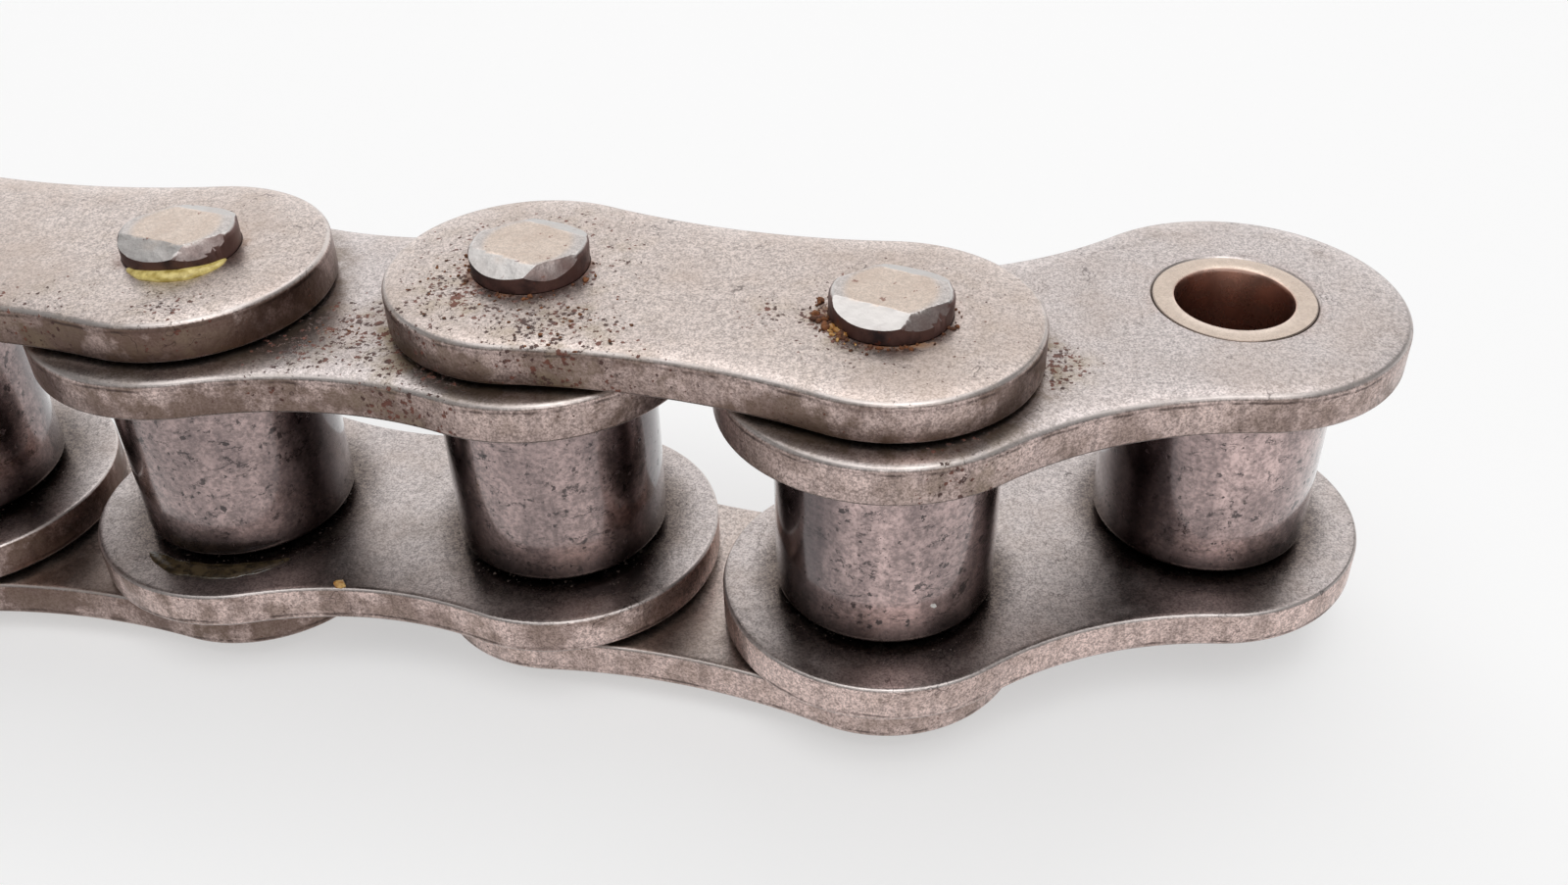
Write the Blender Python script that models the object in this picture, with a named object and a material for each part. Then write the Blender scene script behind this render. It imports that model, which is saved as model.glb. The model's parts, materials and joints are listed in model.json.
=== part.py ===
"""A length of heavy roller chain lying on its side, modelled link by link.

Inner links (two plates on two pressed-in bushes, each bush carrying a loose roller) alternate with
outer links (two plates on two riveted pins).  Every pin turns in the bushes of its neighbours, so the
links hang from one another as a tree of empties, each empty standing on its own pin's axis.

Units are metres, +Z is up along the pins, and the origin is the foot of the pin that joins the root
link to the first link on its right.
"""

import math

import bmesh
import bpy

MM = 0.001

# Driving dimensions of the chain
PITCH = 25.4 * MM
INNER_WIDTH = 15.88 * MM
ROLLER_DIAMETER = 15.88 * MM
BUSH_DIAMETER = 11.3 * MM
PIN_DIAMETER = 7.94 * MM
PLATE_THICKNESS = 3.2 * MM
PIN_HEAD_STAND = 1.7 * MM
INNER_WAIST_DEPTH = 2.1 * MM
OUTER_WAIST_DEPTH = 1.3 * MM

# Clearances between pieces that fit or pass one another
INNER_END_GAP = 1.6 * MM
OUTER_END_GAP = 5.0 * MM
SIDE_GAP = 0.3 * MM
ROLLER_END_GAP = 0.3 * MM
PIN_RUNNING_CLEARANCE = 0.06 * MM
ROLLER_RUNNING_CLEARANCE = 0.1 * MM
PRESS_GAP = 0.05 * MM

# Broken edges
PLATE_EDGE = 0.35 * MM
ROLLER_EDGE = 0.6 * MM
BUSH_EDGE = 0.3 * MM
PIN_EDGE = 0.5 * MM

# Turn of each link from the link before it, in degrees, going outwards from the root link
RIGHT_ARM_BENDS = (-8.8, 32.0)
LEFT_ARM_BENDS = (-1.7, 29.7, -18.0, -16.0)

# Facets
ROUND_SIDES = 24
END_STEPS = 14
WAIST_STEPS = 4

# Sizes that follow from the dimensions above
FLAT_TO_CORNER = 1.0 / math.cos(math.pi / ROUND_SIDES)
INNER_PLATE_HEIGHT = PITCH - INNER_END_GAP
OUTER_PLATE_HEIGHT = PITCH - OUTER_END_GAP
PIN_RADIUS = PIN_DIAMETER / 2
BUSH_RADIUS = BUSH_DIAMETER / 2
ROLLER_RADIUS = ROLLER_DIAMETER / 2
BUSH_BORE_RADIUS = (PIN_RADIUS + PIN_RUNNING_CLEARANCE) * FLAT_TO_CORNER
ROLLER_BORE_RADIUS = (BUSH_RADIUS + ROLLER_RUNNING_CLEARANCE) * FLAT_TO_CORNER
INNER_HOLE_RADIUS = BUSH_RADIUS + PRESS_GAP
OUTER_HOLE_RADIUS = PIN_RADIUS + PRESS_GAP
BUSH_LENGTH = INNER_WIDTH + 2 * PLATE_THICKNESS
ROLLER_LENGTH = INNER_WIDTH - 2 * ROLLER_END_GAP
PIN_LENGTH = BUSH_LENGTH + 2 * (SIDE_GAP + PLATE_THICKNESS + PIN_HEAD_STAND)
MID_HEIGHT = PIN_LENGTH / 2
INNER_PLATE_OFFSET = INNER_WIDTH / 2 + PLATE_THICKNESS / 2
OUTER_PLATE_OFFSET = BUSH_LENGTH / 2 + SIDE_GAP + PLATE_THICKNESS / 2

MERGE_DISTANCE = 0.001 * MM
ROOT_POSITION = len(RIGHT_ARM_BENDS)
SIDES = {"upper": 1, "lower": -1}


def clear_scene():
    """Remove every object that the scene starts with."""
    for leftover in list(bpy.data.objects):
        bpy.data.objects.remove(leftover, do_unlink=True)


def steel(name, colour, roughness):
    """Return a bare steel material."""
    material = bpy.data.materials.new(name)
    material.use_nodes = True
    shader = material.node_tree.nodes["Principled BSDF"]
    shader.inputs["Base Color"].default_value = (*colour, 1.0)
    shader.inputs["Roughness"].default_value = roughness
    shader.inputs["Metallic"].default_value = 1.0
    return material


def finish_mesh(bm, name, material):
    """Turn a bmesh into a smooth-shaded mesh with one material, faces pointing out."""
    bmesh.ops.remove_doubles(bm, verts=bm.verts, dist=MERGE_DISTANCE)
    bmesh.ops.recalc_face_normals(bm, faces=bm.faces)
    mesh = bpy.data.meshes.new(name)
    bm.to_mesh(mesh)
    bm.free()
    mesh.materials.append(material)
    mesh.shade_smooth()
    mesh.set_sharp_from_angle(angle=math.radians(30))
    return mesh


def turned_mesh(name, profile, closed, material):
    """Spin a profile of (radius, height) points about the Z axis."""
    bm = bmesh.new()
    verts = [bm.verts.new((radius, 0.0, height)) for radius, height in profile]
    edges = [bm.edges.new(pair) for pair in zip(verts, verts[1:])]
    if closed:
        edges.append(bm.edges.new((verts[-1], verts[0])))
    bmesh.ops.spin(
        bm, geom=verts + edges, cent=(0.0, 0.0, 0.0), axis=(0.0, 0.0, 1.0),
        angle=2 * math.pi, steps=ROUND_SIDES, use_merge=True,
    )
    return finish_mesh(bm, name, material)


def sleeve_mesh(name, outer, bore, length, outer_edge, bore_edge, material):
    """A turned sleeve, centred on its own middle, with its edges broken outside and in the bore."""
    half = length / 2
    profile = [
        (bore, half - bore_edge), (bore + bore_edge, half),
        (outer - outer_edge, half), (outer, half - outer_edge),
        (outer, outer_edge - half), (outer - outer_edge, -half),
        (bore + bore_edge, -half), (bore, bore_edge - half),
    ]
    return turned_mesh(name, profile, True, material)


def pin_mesh(name, material):
    """A solid turned pin, centred on its own middle."""
    half = PIN_LENGTH / 2
    profile = [
        (0.0, half), (PIN_RADIUS - PIN_EDGE, half), (PIN_RADIUS, half - PIN_EDGE),
        (PIN_RADIUS, PIN_EDGE - half), (PIN_RADIUS - PIN_EDGE, -half), (0.0, -half),
    ]
    return turned_mesh(name, profile, False, material)


def arc(centre_x, centre_y, radius, start, end, steps):
    """Points along an arc from the angle start to the angle end, both ends included."""
    angles = [start + (end - start) * step / steps for step in range(steps + 1)]
    return [(centre_x + radius * math.cos(a), centre_y + radius * math.sin(a)) for a in angles]


def plate_outline(height, waist_depth, inset):
    """Outline of a waisted plate: two round ends joined by two hollow arcs that meet them smoothly."""
    half_pitch = PITCH / 2
    end = height / 2
    waist = end - waist_depth
    hollow = (half_pitch ** 2 + waist ** 2 - end ** 2) / (2 * waist_depth)
    hollow_centre = waist + hollow
    meet = math.atan2(hollow_centre, -half_pitch)
    outline = []
    for turn in (1, -1):
        outline += arc(turn * half_pitch, 0.0, turn * (end - inset), -meet, meet, END_STEPS)
        outline += arc(
            0.0, turn * hollow_centre, turn * (hollow + inset), meet - math.pi, -meet, WAIST_STEPS,
        )[1:-1]
    return outline


def ring_outline(centre_x, radius):
    """Corner points of a round hole, in step with the facets of the turned pieces."""
    return arc(centre_x, 0.0, radius, 0.0, 2 * math.pi, ROUND_SIDES)[:-1]


def add_loop(bm, points, height):
    """Add a closed loop of edges at one height and return its edges."""
    verts = [bm.verts.new((x, y, height)) for x, y in points]
    return [bm.edges.new(pair) for pair in zip(verts, verts[1:] + verts[:1])]


def plate_mesh(name, height, waist_depth, hole_radius, material):
    """A waisted plate with two holes a pitch apart, centred on its own middle, its outer edges broken."""
    half = PLATE_THICKNESS / 2
    levels = ((-half, PLATE_EDGE), (PLATE_EDGE - half, 0.0), (half - PLATE_EDGE, 0.0), (half, PLATE_EDGE))
    bm = bmesh.new()
    rims = [add_loop(bm, plate_outline(height, waist_depth, inset), level) for level, inset in levels]
    for below, above in zip(rims, rims[1:]):
        bmesh.ops.bridge_loops(bm, edges=below + above)
    caps = [list(rims[0]), list(rims[-1])]
    for hole_x in (-PITCH / 2, PITCH / 2):
        mouths = [add_loop(bm, ring_outline(hole_x, hole_radius), level) for level in (-half, half)]
        bmesh.ops.bridge_loops(bm, edges=mouths[0] + mouths[1])
        for cap, mouth in zip(caps, mouths):
            cap += mouth
    for cap in caps:
        bmesh.ops.triangle_fill(bm, edges=cap, use_beauty=True, use_dissolve=False)
    return finish_mesh(bm, name, material)


def add_piece(name, mesh, link, x, z):
    """Place one piece on a link, at a distance x from the link's empty and z from its mid-plane."""
    piece = bpy.data.objects.new(name, mesh)
    bpy.context.scene.collection.objects.link(piece)
    piece.parent = link
    piece.location = (x, 0.0, z)


def add_link_frame(name, parent, x, bend):
    """Add the empty that carries a link, on the pin that it turns on."""
    frame = bpy.data.objects.new(name, None)
    bpy.context.scene.collection.objects.link(frame)
    frame.parent = parent
    frame.location = (x, 0.0, 0.0 if parent else MID_HEIGHT)
    frame.rotation_euler = (0.0, 0.0, math.radians(bend))
    return frame


def add_inner_link(number, frame, left_x, meshes):
    """Two plates, two bushes and two rollers on one inner link."""
    label = f"inner_link_{number}"
    for side, sign in SIDES.items():
        x = left_x + PITCH / 2
        add_piece(f"{label}_{side}_plate", meshes["inner_plate"], frame, x, sign * INNER_PLATE_OFFSET)
    for end, x in (("right", left_x + PITCH), ("left", left_x)):
        add_piece(f"{label}_{end}_bush", meshes["bush"], frame, x, 0.0)
        add_piece(f"{label}_{end}_roller", meshes["roller"], frame, x, 0.0)


def add_outer_link(number, frame, left_x, meshes):
    """Two plates and two riveted pins on one outer link."""
    label = f"outer_link_{number}"
    for side, sign in SIDES.items():
        x = left_x + PITCH / 2
        add_piece(f"{label}_{side}_plate", meshes["outer_plate"], frame, x, sign * OUTER_PLATE_OFFSET)
    for end, x in (("right", left_x + PITCH), ("left", left_x)):
        add_piece(f"{label}_{end}_pin", meshes["pin"], frame, x, 0.0)


def add_link(position, frame, left_x, meshes):
    """Add the link at a place along the chain: inner and outer links alternate from the right end."""
    number = position // 2 + 1
    add = add_outer_link if position % 2 else add_inner_link
    add(number, frame, left_x, meshes)


def make_meshes():
    """One mesh for each kind of piece."""
    plate_steel = steel("inner_plate_steel", (0.53, 0.49, 0.46), 0.42)
    outer_steel = steel("outer_plate_steel", (0.55, 0.51, 0.48), 0.42)
    bush_steel = steel("bush_steel", (0.62, 0.57, 0.50), 0.32)
    roller_steel = steel("roller_steel", (0.33, 0.29, 0.28), 0.48)
    pin_steel = steel("pin_steel", (0.57, 0.51, 0.45), 0.36)
    return {
        "inner_plate": plate_mesh(
            "inner_plate", INNER_PLATE_HEIGHT, INNER_WAIST_DEPTH, INNER_HOLE_RADIUS, plate_steel),
        "outer_plate": plate_mesh(
            "outer_plate", OUTER_PLATE_HEIGHT, OUTER_WAIST_DEPTH, OUTER_HOLE_RADIUS, outer_steel),
        "bush": sleeve_mesh(
            "bush", BUSH_RADIUS, BUSH_BORE_RADIUS, BUSH_LENGTH, PRESS_GAP, BUSH_EDGE, bush_steel),
        "roller": sleeve_mesh(
            "roller", ROLLER_RADIUS, ROLLER_BORE_RADIUS, ROLLER_LENGTH, ROLLER_EDGE, BUSH_EDGE, roller_steel),
        "pin": pin_mesh("pin", pin_steel),
    }


def build_chain():
    """Build the root link, then each arm outwards from it."""
    meshes = make_meshes()
    root = add_link_frame("link_frame_root", None, 0.0, 0.0)
    add_link(ROOT_POSITION, root, -PITCH, meshes)
    carrier = root
    for step, bend in enumerate(RIGHT_ARM_BENDS):
        carrier = add_link_frame(f"link_frame_right_{step + 1}", carrier, PITCH if step else 0.0, bend)
        add_link(ROOT_POSITION - 1 - step, carrier, 0.0, meshes)
    carrier = root
    for step, bend in enumerate(LEFT_ARM_BENDS):
        carrier = add_link_frame(f"link_frame_left_{step + 1}", carrier, -PITCH, bend)
        add_link(ROOT_POSITION + 1 + step, carrier, -PITCH, meshes)


clear_scene()
build_chain()
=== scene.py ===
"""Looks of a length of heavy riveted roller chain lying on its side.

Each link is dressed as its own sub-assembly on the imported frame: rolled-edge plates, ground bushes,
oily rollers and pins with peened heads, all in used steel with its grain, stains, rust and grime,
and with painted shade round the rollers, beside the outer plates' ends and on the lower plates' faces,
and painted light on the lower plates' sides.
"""

import json
import logging
import math
import random
from dataclasses import dataclass
from enum import Enum
from typing import Any

import bmesh
import bpy
from mathutils import Matrix, Vector, noise

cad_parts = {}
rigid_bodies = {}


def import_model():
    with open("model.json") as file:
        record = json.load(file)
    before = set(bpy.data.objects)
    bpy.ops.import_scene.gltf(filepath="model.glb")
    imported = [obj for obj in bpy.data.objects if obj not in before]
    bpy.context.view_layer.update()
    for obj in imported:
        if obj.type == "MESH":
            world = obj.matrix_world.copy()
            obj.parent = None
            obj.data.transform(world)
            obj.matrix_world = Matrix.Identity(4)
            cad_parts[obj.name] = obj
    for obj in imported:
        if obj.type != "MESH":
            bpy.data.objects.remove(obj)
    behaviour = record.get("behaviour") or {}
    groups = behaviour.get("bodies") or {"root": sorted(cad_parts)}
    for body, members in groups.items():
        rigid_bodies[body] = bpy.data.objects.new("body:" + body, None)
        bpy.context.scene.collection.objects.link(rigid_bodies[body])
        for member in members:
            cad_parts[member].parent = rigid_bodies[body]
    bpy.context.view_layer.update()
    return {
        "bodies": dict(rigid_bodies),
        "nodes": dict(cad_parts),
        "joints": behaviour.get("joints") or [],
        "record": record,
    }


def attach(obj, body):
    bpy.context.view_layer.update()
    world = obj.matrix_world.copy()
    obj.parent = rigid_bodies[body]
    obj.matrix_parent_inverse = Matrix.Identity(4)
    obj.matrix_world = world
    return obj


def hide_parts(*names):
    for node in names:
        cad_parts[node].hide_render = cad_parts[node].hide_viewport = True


LOG = logging.getLogger("chain_looks")
MM = 0.001
WELD = 0.0005 * MM
ON_PLAN = (1.0, 1.0, 0.0)
COLOUR_MIX_INPUTS = (0, 6, 7)
COLOUR_MIX_RESULT = 2

Triple = tuple[float, float, float]
Colour = tuple[float, float, float]
Profile = list[tuple[float, float]]


class Side(Enum):
    """Which of a link's two plates, seen with the chain lying down."""

    UPPER = "upper"
    LOWER = "lower"

    @property
    def outward(self) -> int:
        """Direction along Z in which the plate's outer face looks."""
        return 1 if self is Side.UPPER else -1


class End(Enum):
    """Which end of a link."""

    RIGHT = "right"
    LEFT = "left"


class LinkKind(Enum):
    """The two kinds of link, which alternate along the chain."""

    INNER = "inner"
    OUTER = "outer"


@dataclass(frozen=True)
class LinkPlace:
    """Where one link lies: its kind, its number and the axes of its two pins on plan."""

    kind: LinkKind
    number: int
    right: Vector
    left: Vector

    @property
    def name(self) -> str:
        """Name of the link's body."""
        return f"{self.kind.value}_link_{self.number}"

    @property
    def heading(self) -> float:
        """Direction from the left pin to the right one, in radians on plan."""
        along = self.right - self.left
        return math.atan2(along.y, along.x)

    @property
    def centre(self) -> Vector:
        """Middle of the link on plan."""
        return (self.right + self.left) / 2

    def pin(self, end: End) -> Vector:
        """Axis of the pin at one end, on plan."""
        return self.right if end is End.RIGHT else self.left


class ChainLayout:
    """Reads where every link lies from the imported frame."""

    def __init__(self, frame: dict[str, Any]) -> None:
        """Collect the pin axes and the chain's mid-plane.
        """
        axes: dict[tuple[int, End], Vector] = {}
        for joint in frame["joints"]:
            words = joint["name"].split("_")
            if words[0] == "roller":
                x, y, z = joint["pos_m"]
                axes[int(words[1]), End(words[2])] = Vector((x, y, 0.0))
                self.mid_height: float = z
        self.links: list[LinkPlace] = []
        inner_count = max(number for number, _ in axes)
        for number in range(1, inner_count + 1):
            right, left = axes[number, End.RIGHT], axes[number, End.LEFT]
            self.links.append(LinkPlace(LinkKind.INNER, number, right, left))
            if number < inner_count:
                beyond = axes[number + 1, End.RIGHT]
                self.links.append(LinkPlace(LinkKind.OUTER, number, left, beyond))

    def placed(self, link: LinkPlace, side: Side) -> Matrix:
        """Matrix from a link's own axes to the chain's, turned over for a lower plate.

        Args:
            link: The link.
            side: The plate's side.

        Returns:
            The placing matrix, with its origin in the link's middle on the mid-plane.
        """
        flip = Matrix.Diagonal((1.0, 1.0, float(side.outward), 1.0))
        spot = Matrix.Translation((link.centre.x, link.centre.y, self.mid_height))
        return spot @ Matrix.Rotation(link.heading, 4, "Z") @ flip


class MeshBench:
    """Small modelling steps shared by the chain's pieces."""

    @staticmethod
    def turn(bm: bmesh.types.BMesh, profile: Profile, closed: bool, steps: int) -> None:
        """Spin a profile of (radius, height) points about Z.

        Args:
            bm: Mesh that receives the turned shape.
            profile: The points of the profile, in metres.
            closed: True for a sleeve, False for a solid piece whose profile ends on the axis.
            steps: Number of facets round the piece.
        """
        verts = [bm.verts.new((radius, 0.0, height)) for radius, height in profile]
        edges = [bm.edges.new(pair) for pair in zip(verts, verts[1:])]
        if closed:
            edges.append(bm.edges.new((verts[-1], verts[0])))
        bmesh.ops.spin(
            bm, geom=verts + edges, cent=(0, 0, 0), axis=(0, 0, 1),
            angle=2 * math.pi, steps=steps, use_merge=True,
        )
        bmesh.ops.remove_doubles(bm, verts=bm.verts, dist=WELD)
        bmesh.ops.recalc_face_normals(bm, faces=bm.faces)

    @staticmethod
    def ring_edges(bm: bmesh.types.BMesh, radius: float, height: float) -> list[bmesh.types.BMEdge]:
        """Edges of the turned corner at one radius and height.

        Args:
            bm: The turned mesh.
            radius: Radius of the corner.
            height: Height of the corner.

        Returns:
            The edges that run round the piece there.
        """
        def on_ring(vert: bmesh.types.BMVert) -> bool:
            """True for a vertex on the corner."""
            return abs(vert.co.z - height) < WELD and abs(vert.co.xy.length - radius) < WELD

        return [edge for edge in bm.edges if all(on_ring(vert) for vert in edge.verts)]

    @staticmethod
    def round_over(
        bm: bmesh.types.BMesh, edges: list[bmesh.types.BMEdge], radius: float, segments: int,
    ) -> None:
        """Round a set of edges.

        Args:
            bm: The mesh.
            edges: The edges to round.
            radius: How far the rounding reaches from each edge.
            segments: Number of facets across the rounding.
        """
        bmesh.ops.bevel(
            bm, geom=edges, offset=radius, segments=segments, profile=0.5,
            affect="EDGES", material=-1, clamp_overlap=True,
        )

    @staticmethod
    def loop_edges(
        bm: bmesh.types.BMesh, centre_x: float, radius: float, height: float, steps: int,
    ) -> list[bmesh.types.BMEdge]:
        """Add a circle of edges and return them.

        Args:
            bm: The mesh.
            centre_x: Place of the circle along the link.
            radius: Radius of the circle.
            height: Height of the circle.
            steps: Number of edges.

        Returns:
            The new edges.
        """
        made = bmesh.ops.create_circle(
            bm, segments=steps, radius=radius, matrix=Matrix.Translation((centre_x, 0.0, height)))
        return list({edge for vert in made["verts"] for edge in vert.link_edges})

    @staticmethod
    def finish(
        bm: bmesh.types.BMesh, name: str, place: Matrix, crease: float = 35.0,
    ) -> bpy.types.Object:
        """Place a mesh in the chain and make it an object.

        Args:
            bm: The mesh, in the piece's own axes.
            name: Name of the new piece.
            place: Matrix from the piece's axes to the chain's.
            crease: Angle in degrees above which an edge stays sharp.

        Returns:
            The new object, at the origin, with its place in its mesh.
        """
        bmesh.ops.transform(bm, matrix=place, verts=bm.verts)
        bmesh.ops.remove_doubles(bm, verts=bm.verts, dist=WELD)
        bmesh.ops.recalc_face_normals(bm, faces=bm.faces)
        mesh = bpy.data.meshes.new(name)
        bm.to_mesh(mesh)
        bm.free()
        mesh.shade_smooth()
        mesh.set_sharp_from_angle(angle=math.radians(crease))
        piece = bpy.data.objects.new(name, mesh)
        bpy.context.scene.collection.objects.link(piece)
        return piece


@dataclass(frozen=True)
class PlateShape:
    """A waisted link plate: sheared sides, an outer rim rolled over by the die, a crisp inner rim."""

    height: float
    waist_depth: float
    hole_radius: float
    inner_face: float
    pitch: float = 25.4 * MM
    thickness: float = 3.2 * MM
    rolled_rim: float = 0.34 * MM
    crisp_rim: float = 0.26 * MM
    roll_widths: tuple[float, ...] = (0.50 * MM, 0.60 * MM, 0.80 * MM, 1.00 * MM)
    roll_rises: tuple[float, ...] = (0.115 * MM, 0.084 * MM, 0.060 * MM, 0.030 * MM)
    hole_lip: float = 0.12 * MM
    flat_margin: float = 0.25 * MM
    outline_weld: float = 0.01 * MM
    end_steps: int = 72
    waist_steps: int = 20
    hole_steps: int = 96
    rolled_steps: int = 6
    crisp_steps: int = 3

    def outline(self, bm: bmesh.types.BMesh) -> list[bmesh.types.BMEdge]:
        """Draw the outline at height zero by spinning one point round four centres.

        Args:
            bm: The mesh.

        Returns:
            The closed loop of edges.
        """
        half_pitch = self.pitch / 2
        end = self.height / 2
        waist = end - self.waist_depth
        hollow = (half_pitch ** 2 + waist ** 2 - end ** 2) / (2 * self.waist_depth)
        meet = math.atan2(waist + hollow, -half_pitch)
        hollow_sweep = 2 * meet - math.pi
        start = (half_pitch + end * math.cos(meet), -end * math.sin(meet), 0.0)
        last = bm.verts.new(start)
        for turn in (1, -1):
            for centre, sweep, steps in (
                ((turn * half_pitch, 0.0, 0.0), 2 * meet, self.end_steps),
                ((0.0, turn * (waist + hollow), 0.0), -hollow_sweep, self.waist_steps),
            ):
                spun = bmesh.ops.spin(
                    bm, geom=[last], cent=centre, axis=(0, 0, 1), angle=sweep, steps=steps)
                last = next(item for item in spun["geom_last"] if isinstance(item, bmesh.types.BMVert))
        bmesh.ops.remove_doubles(bm, verts=bm.verts, dist=self.outline_weld)
        return list(bm.edges)

    def build(self, name: str, place: Matrix) -> bpy.types.Object:
        """Model one plate.

        Args:
            name: Name of the piece.
            place: Matrix from the link's axes to the chain's.

        Returns:
            The plate.
        """
        bm = bmesh.new()
        sheet = bmesh.ops.contextual_create(bm, geom=self.outline(bm))["faces"]
        raised = bmesh.ops.extrude_face_region(bm, geom=sheet)["geom"]
        lifted = [item for item in raised if isinstance(item, bmesh.types.BMVert)]
        shoulder = self.thickness - sum(self.roll_rises)
        bmesh.ops.translate(bm, vec=(0.0, 0.0, shoulder), verts=lifted)
        bmesh.ops.recalc_face_normals(bm, faces=bm.faces)
        crown = [item for item in raised if isinstance(item, bmesh.types.BMFace)]
        for width, rise in zip(self.roll_widths, self.roll_rises):
            bmesh.ops.inset_region(
                bm, faces=crown, thickness=width, depth=rise, use_even_offset=True, use_boundary=True)
        for level, radius, segments in (
            (shoulder, self.rolled_rim, self.rolled_steps),
            (0.0, self.crisp_rim, self.crisp_steps),
        ):
            rim = [
                edge for edge in bm.edges
                if all(abs(vert.co.z - level) < WELD for vert in edge.verts)
            ]
            MeshBench.round_over(bm, rim, radius, segments)
        self.pierce(bm)
        bmesh.ops.translate(bm, vec=(0.0, 0.0, self.inner_face), verts=bm.verts)
        return MeshBench.finish(bm, name, place)

    def pierce(self, bm: bmesh.types.BMesh) -> None:
        """Open the two holes, each with a small lip at both faces.

        Args:
            bm: The plate without holes.
        """
        caps = [face for face in bm.faces if len(face.verts) > 2 * self.end_steps]
        bmesh.ops.inset_region(
            bm, faces=caps, thickness=self.flat_margin, use_even_offset=True, use_boundary=True)
        rims: dict[int, list[bmesh.types.BMEdge]] = {}
        for cap in caps:
            rims[round(cap.calc_center_median().z / self.thickness)] = list(cap.edges)
        bmesh.ops.delete(bm, geom=caps, context="FACES_ONLY")
        heights = (0.0, self.hole_lip, self.thickness - self.hole_lip, self.thickness)
        mouth = self.hole_radius + self.hole_lip
        radii = (mouth, self.hole_radius, self.hole_radius, mouth)
        for hole_x in (-self.pitch / 2, self.pitch / 2):
            loops = [
                MeshBench.loop_edges(bm, hole_x, radius, level, self.hole_steps)
                for radius, level in zip(radii, heights)
            ]
            for below, above in zip(loops, loops[1:]):
                bmesh.ops.bridge_loops(bm, edges=below + above)
            rims[0] += loops[0]
            rims[1] += loops[-1]
        for rim in rims.values():
            bmesh.ops.triangle_fill(bm, edges=rim, use_beauty=True)


@dataclass(frozen=True)
class SleeveShape:
    """A turned sleeve on the pin axis: a bush or a roller."""

    outer_radius: float
    bore_radius: float
    length: float
    outer_rounding: float
    bore_chamfer: float
    steps: int = 128
    rounding_steps: int = 6
    chamfer_steps: int = 2

    def build(self, name: str, place: Matrix) -> bpy.types.Object:
        """Turn the sleeve.

        Args:
            name: Name of the piece.
            place: Matrix from the pin's axes to the chain's.

        Returns:
            The sleeve.
        """
        half = self.length / 2
        bm = bmesh.new()
        corners = [
            (self.bore_radius, half),
            (self.outer_radius, half),
            (self.outer_radius, -half),
            (self.bore_radius, -half),
        ]
        MeshBench.turn(bm, corners, True, self.steps)
        for height in (half, -half):
            rim = MeshBench.ring_edges(bm, self.outer_radius, height)
            MeshBench.round_over(bm, rim, self.outer_rounding, self.rounding_steps)
            mouth = MeshBench.ring_edges(bm, self.bore_radius, height)
            MeshBench.round_over(bm, mouth, self.bore_chamfer, self.chamfer_steps)
        return MeshBench.finish(bm, name, place)


@dataclass(frozen=True)
class PeenedFlat:
    """A flat that riveting leaves on a head: its bearing and slope in degrees, and where it starts."""

    bearing: float
    distance: float
    slope: float


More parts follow.
